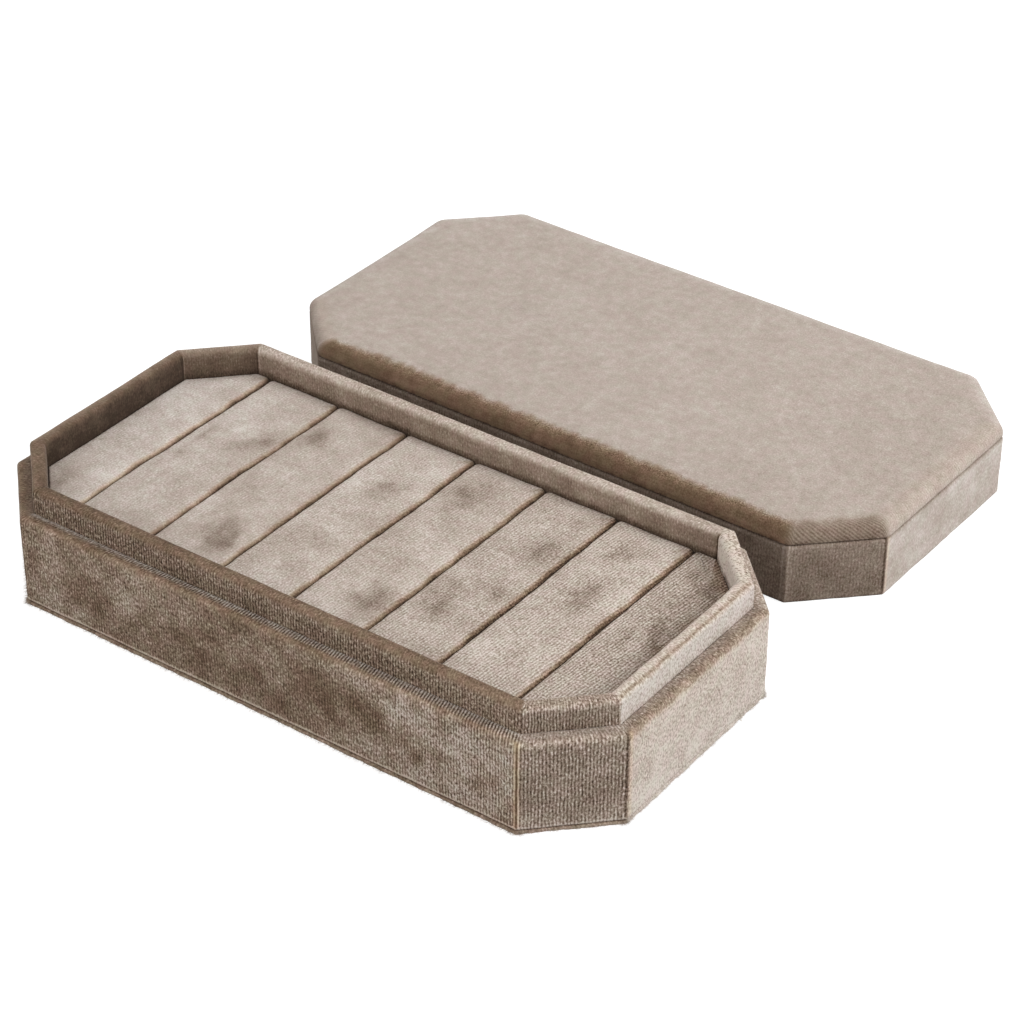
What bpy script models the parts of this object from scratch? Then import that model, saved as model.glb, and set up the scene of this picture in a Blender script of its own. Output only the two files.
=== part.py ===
"""Travel jewelry box: an octagonal tray of velvet ring rolls with a separate lift-off lid.

The box lies along X, the table is the plane Z = 0, and the origin is the centre of the base's
underside. The lid has been lifted off and lies beside the base, on its +Y side. Both halves are
made as such boxes are: mitred greyboard walls wrapped in a strip of velvet that is turned over
their edges, a collar that stands up inside the shell to locate the lid, foam rolls in velvet
covers pressed side by side into the collar, and a foam pad in a velvet cover on the lid.
Lengths are in metres.
"""

import collections
import math

import bmesh
import bpy
from mathutils import Matrix, Vector

# Outline of the box, seen from above
LENGTH = 0.180
WIDTH = 0.0915
CORNER_LEG = 0.0175

# Heights of the base
SHELL_HEIGHT = 0.025
COLLAR_RISE = 0.0066
CUSHION_DROP = 0.0064

# Covering cloth and the glue under it
VELVET = 0.0007
BOTTOM_COVER = 0.0005
GLUE_LINE = 0.0002

# Boards and cards
SHELL_BOARD = 0.0016
COLLAR_BOARD = 0.0019
FLOOR_BOARD = 0.0015
BOTTOM_BOARD = 0.0009
INSERT_CARD = 0.0010
LID_TOP_BOARD = 0.0015
PAD_CARD = 0.0008
LINING_CARD = 0.0008

# Hidden margins of the velvet
SHELL_TURN_UNDER = 0.007
SHELL_TURN_DOWN = 0.009
COLLAR_TURN_DOWN = 0.008
LID_TURN_OVER = 0.008

# Ring rolls
ROLL_COUNT = 8
END_ROLL_SHARE = 0.883
ROLL_GAP = 0.0003
ROLL_EDGE_ROUND = 0.0014
ROLL_CORNER_ROUND = 0.0016
ROLL_CROWN = 0.0005
ROLL_DRAW_IN = 0.0003

# Lid
LID_SIDE_HEIGHT = 0.0165
LID_CLEARANCE = 0.00035
PAD_SIDE = 0.0037
PAD_EDGE_ROUND = 0.0029
PAD_CORNER_ROUND = 0.0032
PAD_CROWN = 0.0004
PAD_DRAW_IN = 0.0004

# Where the lid lies beside the base
LID_DISTANCE = 0.0173
LID_SHIFT = 0.002
LID_TURN_DEGREES = -0.67

# Shares of the sizes above, and counts
FOLD_SHARE = 2.0
FULLEST_SHARE = 0.45
ROUND_LIMIT_SHARE = 0.45
FOLD_STEPS = 3
COVER_STEPS = 3
FOAM_STEPS = 2
ROLL_CUT_SHARES = ((-0.55, 0.0, 0.55), (-0.8, -0.4, 0.4, 0.8))
ROLL_FOAM_CUT_SHARES = ((0.0,), (-0.7, 0.7))
PAD_CUT_SHARES = ((-0.9, -0.72, -0.4, 0.0, 0.4, 0.72, 0.9), (-0.82, -0.5, 0.0, 0.5, 0.82))
PAD_FOAM_CUT_SHARES = ((-0.72, 0.0, 0.72), (-0.5, 0.5))
CROWN_POWER = 4
WELD_SHARE = 0.001

SIDE_NAMES = (
    "front",
    "front_right",
    "right",
    "back_right",
    "back",
    "back_left",
    "left",
    "front_left",
)

# A soft pad: its height without the crown, how round its edge and its corners are, how far its
# foot is drawn in, its rise in the middle, where its top is cut to bend, and its arcs' steps
PadShape = collections.namedtuple(
    "PadShape", "height edge_round corner_round draw_in crown cut_shares steps"
)

# Colour as linear red, green, blue, and roughness
FINISHES = {
    "velvet": ((0.36, 0.29, 0.24), 0.9),
    "velvet_shaded": ((0.17, 0.12, 0.09), 0.9),
    "cotton": ((0.20, 0.15, 0.12), 0.85),
    "greyboard": ((0.22, 0.20, 0.18), 0.8),
    "card": ((0.60, 0.57, 0.52), 0.7),
    "foam": ((0.70, 0.68, 0.62), 0.95),
}

# Levels and insets worked out from the sizes above
SHELL_SEAM_Z = BOTTOM_COVER + GLUE_LINE + BOTTOM_BOARD + GLUE_LINE
SHELL_BOARD_Z = SHELL_SEAM_Z + VELVET + GLUE_LINE
SHELL_STACK = VELVET + GLUE_LINE + SHELL_BOARD + GLUE_LINE + VELVET
COLLAR_INSET = SHELL_STACK + GLUE_LINE
COLLAR_STACK = VELVET + GLUE_LINE + COLLAR_BOARD + GLUE_LINE + VELVET
TRAY_INSET = COLLAR_INSET + COLLAR_STACK
COLLAR_TOP_Z = SHELL_HEIGHT + COLLAR_RISE
FLOOR_Z = SHELL_BOARD_Z
INSERT_Z = FLOOR_Z + FLOOR_BOARD + GLUE_LINE
ROLL_Z = INSERT_Z + INSERT_CARD + GLUE_LINE
CUSHION_Z = COLLAR_TOP_Z - CUSHION_DROP
LID_STACK = COLLAR_INSET - LID_CLEARANCE
LID_BOARD = LID_STACK - VELVET - GLUE_LINE - GLUE_LINE - VELVET
LID_BOARD_TOP_Z = LID_SIDE_HEIGHT - VELVET - GLUE_LINE
LID_WALL_TOP_Z = LID_BOARD_TOP_Z - LID_TOP_BOARD - GLUE_LINE
LINING_CARD_Z = LID_WALL_TOP_Z - LINING_CARD
LINING_VELVET_Z = LINING_CARD_Z - GLUE_LINE - VELVET
PAD_Z = LID_SIDE_HEIGHT + GLUE_LINE
FOLD_ROUND = FOLD_SHARE * GLUE_LINE
WELD_DISTANCE = WELD_SHARE * VELVET


def octagon(inset):
    """Corners of the box's outline moved inwards, anticlockwise from the front side's left end."""
    half_x = LENGTH / 2 - inset
    half_y = WIDTH / 2 - inset
    leg = CORNER_LEG - inset * (2 - math.sqrt(2))
    return [
        Vector((-half_x + leg, -half_y)),
        Vector((half_x - leg, -half_y)),
        Vector((half_x, -half_y + leg)),
        Vector((half_x, half_y - leg)),
        Vector((half_x - leg, half_y)),
        Vector((-half_x + leg, half_y)),
        Vector((-half_x, half_y - leg)),
        Vector((-half_x, -half_y + leg)),
    ]


def cut_across(points, x, side):
    """The part of a convex outline on one side of a line across the box: side 1 keeps larger X."""
    kept = []
    for index, point in enumerate(points):
        before = points[index - 1]
        inside = side * (point.x - x) >= 0
        if inside != (side * (before.x - x) >= 0):
            kept.append(before.lerp(point, (x - before.x) / (point.x - before.x)))
        if inside:
            kept.append(point)
    return kept


def moved_aside(points, distance):
    """An open path moved to the right of the way it runs, so that its sides stay parallel."""
    result = []
    for index, point in enumerate(points):
        ways = [(point - before).normalized() for before in points[max(index - 1, 0):index]]
        ways += [(after - point).normalized() for after in points[index + 1:index + 2]]
        rights = [Vector((way.y, -way.x)) for way in ways]
        total = sum(rights, Vector((0, 0)))
        result.append(point + total * (distance * len(rights) / total.length_squared))
    return result


def rounded(points, radius, steps, closed=True):
    """A path whose corners are arcs, no longer than a share of the sides that they join."""
    result = []
    last = len(points) - 1
    for index, point in enumerate(points):
        if not closed and index in (0, last):
            result.append(point)
            continue
        back = points[index - 1] - point
        ahead = points[(index + 1) % len(points)] - point
        half_angle = back.angle(ahead) / 2
        limit = ROUND_LIMIT_SHARE * min(back.length, ahead.length)
        reach = min(radius / math.tan(half_angle), limit)
        start = point + back.normalized() * reach
        end = point + ahead.normalized() * reach
        middle = (back.normalized() + ahead.normalized()).normalized()
        centre = point + middle * (reach / math.cos(half_angle))
        turn = (start - centre).angle_signed(end - centre)
        for step in range(steps + 1):
            spoke = start - centre
            spoke.rotate(Matrix.Rotation(-turn * step / steps, 2))
            result.append(centre + spoke)
    return result


def flat_curve(name, points, closed=True):
    """A curve in the XY plane through the points."""
    data = bpy.data.curves.new(name, "CURVE")
    data.dimensions = "2D"
    spline = data.splines.new("POLY")
    spline.points.add(len(points) - 1)
    for target, point in zip(spline.points, points):
        target.co = (point.x, point.y, 0, 1)
    spline.use_cyclic_u = closed
    curve = bpy.data.objects.new(name, data)
    box_collection.objects.link(curve)
    return curve


def curve_to_mesh(curve, name):
    """The curve's surface as a welded mesh object with its faces pointing out."""
    graph = bpy.context.evaluated_depsgraph_get()
    mesh = bpy.data.meshes.new_from_object(curve.evaluated_get(graph))
    work = bmesh.new()
    work.from_mesh(mesh)
    bmesh.ops.remove_doubles(work, verts=work.verts, dist=WELD_DISTANCE)
    bmesh.ops.recalc_face_normals(work, faces=work.faces)
    work.to_mesh(mesh)
    work.free()
    bpy.data.objects.remove(curve)
    mesh.name = name
    made = bpy.data.objects.new(name, mesh)
    box_collection.objects.link(made)
    return made


def swept(name, outline, profile, profile_closed, caps):
    """A profile of (inset, height) points carried round an outline; caps is NONE, FRONT, BACK or BOTH."""
    guide = flat_curve(name + "_profile", profile, profile_closed)
    path = flat_curve(name + "_path", outline)
    path.data.bevel_mode = "OBJECT"
    path.data.bevel_object = guide
    path.data.fill_mode = caps
    bpy.context.view_layer.update()
    made = curve_to_mesh(path, name)
    bpy.data.objects.remove(guide)
    return made


def finish(made, finish_name, bottom=0.0, parent=None):
    """Gives a piece its own material, its height and the empty that carries it."""
    colour, roughness = FINISHES[finish_name]
    material = bpy.data.materials.new(made.name + "_" + finish_name)
    material.use_nodes = True
    shader = material.node_tree.nodes["Principled BSDF"]
    shader.inputs["Base Color"].default_value = (*colour, 1)
    shader.inputs["Roughness"].default_value = roughness
    material.diffuse_color = (*colour, 1)
    made.data.materials.clear()
    made.data.materials.append(material)
    made.location.z = bottom
    made.parent = parent
    return made


def plate(name, outline, bottom, thickness, finish_name, parent=None):
    """A flat board or card, cut to an outline."""
    curve = flat_curve(name + "_outline", outline)
    curve.data.fill_mode = "BOTH"
    curve.data.extrude = thickness / 2
    bpy.context.view_layer.update()
    made = curve_to_mesh(curve, name)
    return finish(made, finish_name, bottom + thickness / 2, parent)


def mitred_boards(prefix, inset, thickness, bottom, top, parent=None):
    """One upright board to a side of the octagon, with a glue line at each mitre."""
    outer = octagon(inset)
    inner = octagon(inset + thickness)
    for index, side_name in enumerate(SIDE_NAMES):
        after = (index + 1) % len(outer)
        trim = (outer[after] - outer[index]).normalized() * GLUE_LINE / 2
        outline = [
            outer[index] + trim,
            outer[after] - trim,
            inner[after] - trim,
            inner[index] + trim,
        ]
        plate(f"{prefix}_{side_name}", outline, bottom, top - bottom, "greyboard", parent)


def velvet_wrap(name, route, finish_name, parent=None):
    """A strip of velvet folded along a route of (inset, height) points, carried round the box."""
    face = rounded(route, FOLD_ROUND + VELVET, FOLD_STEPS, closed=False)
    back = rounded(moved_aside(route, VELVET), FOLD_ROUND, FOLD_STEPS, closed=False)
    made = swept(name, octagon(0), face + back[::-1], True, "NONE")
    return finish(made, finish_name, 0.0, parent)


def edge_profile(shape):
    """A pad's side: drawn in at the foot, fullest below its middle, and round at the top."""
    straight = shape.height - shape.edge_round
    profile = [Vector((shape.draw_in, 0)), Vector((0, straight * FULLEST_SHARE))]
    for step in range(shape.steps + 1):
        angle = math.pi / 2 * step / shape.steps
        inset = shape.edge_round * (1 - math.cos(angle))
        profile.append(Vector((inset, straight + shape.edge_round * math.sin(angle))))
    return profile


def raise_crown(made, shape):
    """Cuts the top of a pad into a grid and lifts it in the middle."""
    work = bmesh.new()
    work.from_mesh(made.data)
    low = Vector(min(v.co[axis] for v in work.verts) for axis in range(3))
    high = Vector(max(v.co[axis] for v in work.verts) for axis in range(3))
    centre = (low + high) / 2
    half = (high - low) / 2
    across_shares, along_shares = shape.cut_shares
    cuts = [(Vector((1, 0, 0)), share) for share in across_shares]
    cuts += [(Vector((0, 1, 0)), share) for share in along_shares]
    for way, share in cuts:
        top_z = high.z - shape.crown
        top_faces = [face for face in work.faces if face.calc_center_median().z > top_z]
        edges = {edge for face in top_faces for edge in face.edges}
        corners = {corner for face in top_faces for corner in face.verts}
        bmesh.ops.bisect_plane(
            work,
            geom=top_faces + list(edges) + list(corners),
            plane_co=centre + Vector(way[axis] * half[axis] * share for axis in range(3)),
            plane_no=way,
            dist=WELD_DISTANCE,
        )
    for vertex in work.verts:
        across = abs((vertex.co.x - centre.x) / half.x)
        along = abs((vertex.co.y - centre.y) / half.y)
        swell = (1 - min(across, 1) ** CROWN_POWER) * (1 - min(along, 1) ** CROWN_POWER)
        up = (vertex.co.z - low.z) / (high.z - low.z)
        vertex.co.z += shape.crown * swell * up
    work.to_mesh(made.data)
    work.free()


def pad_form(name, outline, shape, caps):
    """The outer form of a pad, with its crown."""
    path = rounded(outline, shape.corner_round, shape.steps)
    made = swept(name, path, edge_profile(shape), False, caps)
    raise_crown(made, shape)
    return made


def foam_block(name, outline, bottom, shape, lift=0.0, parent=None):
    """A foam pad, closed underneath. What is lower than the lift is cut off for the card there."""
    made = pad_form(name, outline, shape, "BOTH")
    if lift:
        work = bmesh.new()
        work.from_mesh(made.data)
        cut = bmesh.ops.bisect_plane(
            work,
            geom=work.verts[:] + work.edges[:] + work.faces[:],
            plane_co=Vector((0, 0, lift)),
            plane_no=Vector((0, 0, 1)),
            dist=WELD_DISTANCE,
            clear_inner=True,
        )
        rim = [item for item in cut["geom_cut"] if isinstance(item, bmesh.types.BMEdge)]
        bmesh.ops.contextual_create(work, geom=rim)
        work.to_mesh(made.data)
        work.free()
    return finish(made, "foam", bottom, parent)


def velvet_cover(name, outline, bottom, shape, parent=None):
    """The velvet cover of a pad, open underneath, with its thickness inwards."""
    made = pad_form(name, outline, shape, "FRONT")
    wall = made.modifiers.new("Cloth thickness", "SOLIDIFY")
    wall.thickness = VELVET
    wall.offset = -1
    made.data.shade_smooth()
    return finish(made, "velvet", bottom, parent)


def foam_inside(shape, cut_shares):
    """The shape of the foam under a cover, smaller by the cloth and the glue."""
    under_cloth = VELVET + GLUE_LINE
    return shape._replace(
        height=shape.height - under_cloth,
        edge_round=shape.edge_round - under_cloth,
        corner_round=shape.corner_round - under_cloth,
        cut_shares=cut_shares,
        steps=FOAM_STEPS,
    )


def bottom():
    """The bottom board and the cotton cover glued under it and round its edge."""
    profile = [
        Vector((BOTTOM_COVER, 0)),
        Vector((0, BOTTOM_COVER)),
        Vector((0, BOTTOM_COVER + GLUE_LINE + BOTTOM_BOARD)),
    ]
    cover = swept("bottom_cover", octagon(GLUE_LINE), profile, False, "BACK")
    wall = cover.modifiers.new("Cloth thickness", "SOLIDIFY")
    wall.thickness = BOTTOM_COVER
    wall.offset = -1
    wall.use_even_offset = True
    finish(cover, "cotton")
    inset = GLUE_LINE + BOTTOM_COVER + GLUE_LINE
    plate("bottom_board", octagon(inset), BOTTOM_COVER + GLUE_LINE, BOTTOM_BOARD, "greyboard")


def shell():
    """The base's outer wall, its velvet, and the floor inside it."""
    board_inset = VELVET + GLUE_LINE
    board_top = SHELL_HEIGHT - VELVET - GLUE_LINE
    mitred_boards("shell_board", board_inset, SHELL_BOARD, SHELL_BOARD_Z, board_top)
    route = [
        Vector((SHELL_TURN_UNDER, SHELL_SEAM_Z)),
        Vector((0, SHELL_SEAM_Z)),
        Vector((0, SHELL_HEIGHT)),
        Vector((SHELL_STACK, SHELL_HEIGHT)),
        Vector((SHELL_STACK, SHELL_HEIGHT - SHELL_TURN_DOWN)),
    ]
    velvet_wrap("shell_velvet", route, "velvet_shaded")
    floor_inset = board_inset + SHELL_BOARD + GLUE_LINE
    plate("floor_board", octagon(floor_inset), FLOOR_Z, FLOOR_BOARD, "greyboard")


def collar():
    """The raised rim inside the shell that locates the lid."""
    board_inset = COLLAR_INSET + VELVET + GLUE_LINE
    board_top = COLLAR_TOP_Z - VELVET - GLUE_LINE
    mitred_boards("collar_board", board_inset, COLLAR_BOARD, INSERT_Z, board_top)
    route = [
        Vector((COLLAR_INSET, SHELL_HEIGHT - COLLAR_TURN_DOWN)),
        Vector((COLLAR_INSET, COLLAR_TOP_Z)),
        Vector((TRAY_INSET, COLLAR_TOP_Z)),
        Vector((TRAY_INSET, INSERT_Z)),
    ]
    velvet_wrap("collar_velvet", route, "velvet_shaded")


def roll_outline(left, right, inset):
    """The part of the tray between two lines across it, all moved inwards by the inset."""
    tray = octagon(TRAY_INSET + GLUE_LINE + inset)
    return cut_across(cut_across(tray, left + inset, 1), right - inset, -1)


def ring_rolls():
    """The insert card and the row of ring rolls, whose end ones follow the collar's cut corners."""
    plate("insert_card", octagon(TRAY_INSET + GLUE_LINE), INSERT_Z, INSERT_CARD, "card")
    half_tray = LENGTH / 2 - TRAY_INSET
    roll_pitch = 2 * half_tray / (ROLL_COUNT - 2 + 2 * END_ROLL_SHARE)
    slots = [roll_pitch * (index - ROLL_COUNT / 2) for index in range(1, ROLL_COUNT)]
    limits = [-half_tray - ROLL_GAP, *slots, half_tray + ROLL_GAP]
    shape = PadShape(
        height=CUSHION_Z - ROLL_Z - ROLL_CROWN,
        edge_round=ROLL_EDGE_ROUND,
        corner_round=ROLL_CORNER_ROUND,
        draw_in=ROLL_DRAW_IN,
        crown=ROLL_CROWN,
        cut_shares=ROLL_CUT_SHARES,
        steps=COVER_STEPS,
    )
    foam_shape = foam_inside(shape, ROLL_FOAM_CUT_SHARES)
    for index in range(ROLL_COUNT):
        left = limits[index] + ROLL_GAP / 2
        right = limits[index + 1] - ROLL_GAP / 2
        cover_outline = roll_outline(left, right, 0)
        foam_outline = roll_outline(left, right, VELVET + GLUE_LINE)
        velvet_cover(f"ring_roll_cover_{index + 1}", cover_outline, ROLL_Z, shape)
        foam_block(f"ring_roll_foam_{index + 1}", foam_outline, ROLL_Z, foam_shape)


def lid():
    """The lift-off lid, which lies beside the base on its rim."""
    carrier = bpy.data.objects.new("lid_carrier", None)
    box_collection.objects.link(carrier)
    carrier.location = (LID_SHIFT, WIDTH + LID_DISTANCE, 0)
    carrier.rotation_euler.z = math.radians(LID_TURN_DEGREES)
    under_cloth = VELVET + GLUE_LINE
    mitred_boards("lid_board", under_cloth, LID_BOARD, under_cloth, LID_WALL_TOP_Z, carrier)
    plate(
        "lid_top_board",
        octagon(under_cloth),
        LID_BOARD_TOP_Z - LID_TOP_BOARD,
        LID_TOP_BOARD,
        "greyboard",
        carrier,
    )
    route = [
        Vector((LID_STACK, LINING_VELVET_Z - GLUE_LINE)),
        Vector((LID_STACK, 0)),
        Vector((0, 0)),
        Vector((0, LID_SIDE_HEIGHT)),
        Vector((LID_TURN_OVER, LID_SIDE_HEIGHT)),
    ]
    velvet_wrap("lid_side_velvet", route, "velvet_shaded", carrier)
    lining_inset = under_cloth + LID_BOARD + GLUE_LINE
    lining = octagon(lining_inset)
    plate("lid_lining_card", lining, LINING_CARD_Z, LINING_CARD, "card", carrier)
    plate("lid_lining_velvet", lining, LINING_VELVET_Z, VELVET, "velvet", carrier)
    card_inset = under_cloth + PAD_DRAW_IN
    plate("lid_pad_card", octagon(card_inset), PAD_Z, PAD_CARD, "card", carrier)
    shape = PadShape(
        height=PAD_SIDE,
        edge_round=PAD_EDGE_ROUND,
        corner_round=PAD_CORNER_ROUND,
        draw_in=PAD_DRAW_IN,
        crown=PAD_CROWN,
        cut_shares=PAD_CUT_SHARES,
        steps=COVER_STEPS,
    )
    velvet_cover("lid_pad_velvet", octagon(0), PAD_Z, shape, carrier)
    foam_shape = foam_inside(shape, PAD_FOAM_CUT_SHARES)
    lift = PAD_CARD + GLUE_LINE
    foam_block("lid_pad_foam", octagon(under_cloth), PAD_Z, foam_shape, lift, carrier)


for old in list(bpy.data.objects):
    bpy.data.objects.remove(old)
box_collection = bpy.data.collections.new("travel_jewelry_box")
bpy.context.scene.collection.children.link(box_collection)
bottom()
shell()
collar()
ring_rolls()
lid()
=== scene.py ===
# %% [markdown]
# # A velvet travel jewelry box
#
# The box is a long octagon in two halves: a tray of ring rolls inside a raised collar, and a padded
# lid, which has been lifted off and lies behind the tray. Under the cloth it is greyboard, card and
# foam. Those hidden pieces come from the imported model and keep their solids. This lesson makes what
# the eye meets: the velvet, as surfaces worked out with numpy, and finishes built of shader nodes.

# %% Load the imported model
import collections
import math

import bpy
import numpy as np
from mathutils import Matrix, Vector


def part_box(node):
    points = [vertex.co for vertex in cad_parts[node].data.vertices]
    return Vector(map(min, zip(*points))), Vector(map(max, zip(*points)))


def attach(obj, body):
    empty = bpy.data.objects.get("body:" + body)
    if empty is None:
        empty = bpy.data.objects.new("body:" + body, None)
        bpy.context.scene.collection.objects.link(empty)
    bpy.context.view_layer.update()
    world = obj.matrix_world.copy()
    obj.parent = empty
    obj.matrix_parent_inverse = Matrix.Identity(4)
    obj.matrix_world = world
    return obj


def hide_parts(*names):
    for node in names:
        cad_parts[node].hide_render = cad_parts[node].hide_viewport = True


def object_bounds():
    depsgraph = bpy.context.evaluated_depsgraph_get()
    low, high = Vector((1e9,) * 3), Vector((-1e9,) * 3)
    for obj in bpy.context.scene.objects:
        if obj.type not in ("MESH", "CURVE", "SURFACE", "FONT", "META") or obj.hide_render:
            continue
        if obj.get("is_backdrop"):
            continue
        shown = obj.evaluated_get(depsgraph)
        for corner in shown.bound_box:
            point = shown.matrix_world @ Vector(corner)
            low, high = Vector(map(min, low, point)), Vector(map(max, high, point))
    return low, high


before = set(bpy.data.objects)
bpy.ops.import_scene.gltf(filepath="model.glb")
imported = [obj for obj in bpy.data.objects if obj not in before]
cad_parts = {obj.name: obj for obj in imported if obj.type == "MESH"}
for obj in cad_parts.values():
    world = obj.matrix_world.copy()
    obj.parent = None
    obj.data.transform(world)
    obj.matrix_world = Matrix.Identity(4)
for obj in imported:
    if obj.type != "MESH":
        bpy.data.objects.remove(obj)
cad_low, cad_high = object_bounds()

MM = 0.001
print("the packed model measures", [round(side / MM, 1) for side in cad_high - cad_low], "mm")

# %% [markdown]
# ## Camera
#
# The camera stands in front of the box and to its right, and looks down at about 34 degrees. A long
# lens from three quarters of a metre away keeps the box's long sides nearly parallel.

# %% Camera
CAMERA_PLACE = Vector((368.6, -458.39, 429.29)) * MM
CAMERA_TARGET = Vector((11.14, 37.25, 15.0)) * MM
CAMERA_ROLL = math.radians(0.33)
LENS = 106.8

camera = bpy.data.objects.new("camera", bpy.data.cameras.new("camera"))
bpy.context.scene.collection.objects.link(camera)
camera.data.lens = LENS
camera.data.clip_start = 10 * MM
look = (CAMERA_TARGET - CAMERA_PLACE).to_track_quat("-Z", "Y").to_matrix()
turned = look @ Matrix.Rotation(CAMERA_ROLL, 3, "Z")
camera.matrix_world = Matrix.Translation(CAMERA_PLACE) @ turned.to_4x4()
bpy.context.scene.camera = camera
print("camera", round((CAMERA_TARGET - CAMERA_PLACE).length / MM), "mm from the box")

# %% [markdown]
# ## Colours and nodes
#
# A colour is given as a hex code, which is sRGB. Shaders work in linear light, so one
# function converts it. Two more add a shader node, and set or link its inputs, so that a material
# reads as a short list of steps.

# %% Colours and nodes
WHITE = (1, 1, 1, 1)


def colour(code):
    """Linear red, green, blue and alpha of a hex sRGB code: s / 12.92 if dark, else a power of 2.4."""
    parts = [int(code[start:start + 2], 16) / 255 for start in (1, 3, 5)]
    linear = [part / 12.92 if part <= 0.04045 else ((part + 0.055) / 1.055) ** 2.4 for part in parts]
    return (*linear, 1.0)


def set_inputs(tree, node, inputs):
    """Inputs maps a socket's name or number to a value, or to another node's output to link."""
    for key, value in inputs.items():
        if isinstance(value, bpy.types.NodeSocket):
            tree.links.new(value, node.inputs[key])
        else:
            node.inputs[key].default_value = value


def add_node(tree, kind, inputs=None, **settings):
    """Adds a shader node of a kind, with its settings and inputs."""
    made = tree.nodes.new("ShaderNode" + kind)
    for key, value in settings.items():
        setattr(made, key, value)
    set_inputs(tree, made, inputs or {})
    return made


def new_material(name):
    """A material with a plain Principled shader. Returns it, its tree and the shader."""
    material = bpy.data.materials.new(name)
    material.use_nodes = True
    return material, material.node_tree, material.node_tree.nodes["Principled BSDF"]


print("mid grey is", round(colour("#808080")[0], 3), "in linear light")

# %% [markdown]
# ## Light
#
# The picture is a plain catalogue shot: a white table and background, and soft light that comes
# mostly from above, from behind and from the right. The world gives an even fill. Seen directly, or
# in a reflection, it is white. The table is white too and keeps a faint shadow of the box.

# %% World and lamps
FILL_LIGHT = 0.55
# Each lamp's place from the middle of the box and its width, in metres, and its power in watts
LAMPS = {
    "key": ((0.85, 0.2, 0.6), 0.55, 5.0),
    "top": ((-0.2, 0.5, 1.1), 0.8, 2.0),
    "front": ((0.1, -1.2, 0.6), 0.8, 3.0),
}


def seen_by(tree, *kinds):
    """1 for rays of these kinds, and 0 for all others."""
    rays = add_node(tree, "LightPath").outputs
    seen = rays[kinds[0]]
    for kind in kinds[1:]:
        seen = add_node(tree, "Math", {0: seen, 1: rays[kind]}, operation="MAXIMUM").outputs[0]
    return seen


world = bpy.data.worlds.new("studio")
bpy.context.scene.world = world
world.use_nodes = True
sky = world.node_tree
seen = seen_by(sky, "Is Camera Ray", "Is Glossy Ray", "Is Transmission Ray")
level = add_node(sky, "MapRange", {"Value": seen, "To Min": FILL_LIGHT, "To Max": 1.0}).outputs[0]
set_inputs(sky, sky.nodes["Background"], {"Color": WHITE, "Strength": level})

middle = (cad_low + cad_high) / 2
for name, (place, width, power) in LAMPS.items():
    lamp = bpy.data.lights.new(name, "AREA")
    lamp.shape = "DISK"
    lamp.size = width
    lamp.energy = power
    holder = bpy.data.objects.new(name, lamp)
    bpy.context.scene.collection.objects.link(holder)
    holder.location = middle + Vector(place)
    holder.rotation_euler = (-Vector(place)).to_track_quat("-Z", "Y").to_euler()
print(len(LAMPS), "lamps")

# %% The table
TABLE_SIZE = 8.0
TABLE_GLOW = 0.82
TABLE_COLOUR = "#b9b9b9"

bpy.ops.mesh.primitive_plane_add(size=TABLE_SIZE)
table = bpy.context.object
table.name = "table"
white, tree, shader = new_material("matt_white_table")
seen = seen_by(tree, "Is Camera Ray", "Is Glossy Ray")
glow = add_node(tree, "Math", {0: seen, 1: TABLE_GLOW}, operation="MULTIPLY").outputs[0]
set_inputs(tree, shader, {"Base Color": colour(TABLE_COLOUR), "Roughness": 1.0,
                          "Specular IOR Level": 0.0, "Emission Color": WHITE, "Emission Strength": glow})
table.data.materials.append(white)
table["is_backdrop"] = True
bpy.context.scene.view_settings.view_transform = "Standard"
print("a table", TABLE_SIZE, "m wide")

# %% [markdown]
# ## Measuring the model
#
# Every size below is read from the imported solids, so that the cloth lies where the real cloth
# would. The base is centred on the origin. The lid lies behind it, slightly turned: its place is
# the middle of its top board, and its turn is that of the board's long front edge.

# %% Measures of the two halves
TINY = 0.01 * MM


def points_of(node_name):
    """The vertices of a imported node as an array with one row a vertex."""
    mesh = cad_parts[node_name].data
    flat = np.empty(3 * len(mesh.vertices), np.float32)
    mesh.vertices.foreach_get("co", flat)
    return flat.reshape(-1, 3).astype(float)


shell_points = points_of("shell_velvet")
HALF_X, HALF_Y, SHOULDER_Z = shell_points.max(axis=0)
SEAM_Z = shell_points[:, 2].min()
CORNER_LEG = HALF_X - shell_points[shell_points[:, 1] < TINY - HALF_Y, 0].max()

collar_points = points_of("collar_velvet")
on_right = (collar_points[:, 0] > 0) & (abs(collar_points[:, 1]) < HALF_Y - CORNER_LEG + TINY)
collar_insets = HALF_X - collar_points[on_right, 0]
COLLAR_START, COLLAR_END = collar_insets.min(), collar_insets.max()
COLLAR_LOW, COLLAR_TOP = (corner.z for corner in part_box("collar_velvet"))
print("corner leg", round(CORNER_LEG / MM, 2), "collar", round(COLLAR_START / MM, 2),
      "to", round(COLLAR_END / MM, 2), "mm in")

# %% Place and turn of the lid
board_low, board_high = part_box("lid_top_board")
LID_CENTRE = (board_low + board_high) / 2
front_edge = points_of("lid_top_board")
front_edge = front_edge[front_edge[:, 1] < board_low.y + CORNER_LEG / 4]
edge_way = front_edge[front_edge[:, 0].argmax()] - front_edge[front_edge[:, 0].argmin()]
LID_TURN = math.atan2(edge_way[1], edge_way[0])
PAD_LOW, PAD_HIGH = (corner.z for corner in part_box("lid_pad_velvet"))
LID_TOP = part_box("lid_side_velvet")[1].z
LINING_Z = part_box("lid_lining_velvet")[0].z
print("lid turned by", round(math.degrees(LID_TURN), 2), "degrees about", LID_CENTRE[:2])

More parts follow.
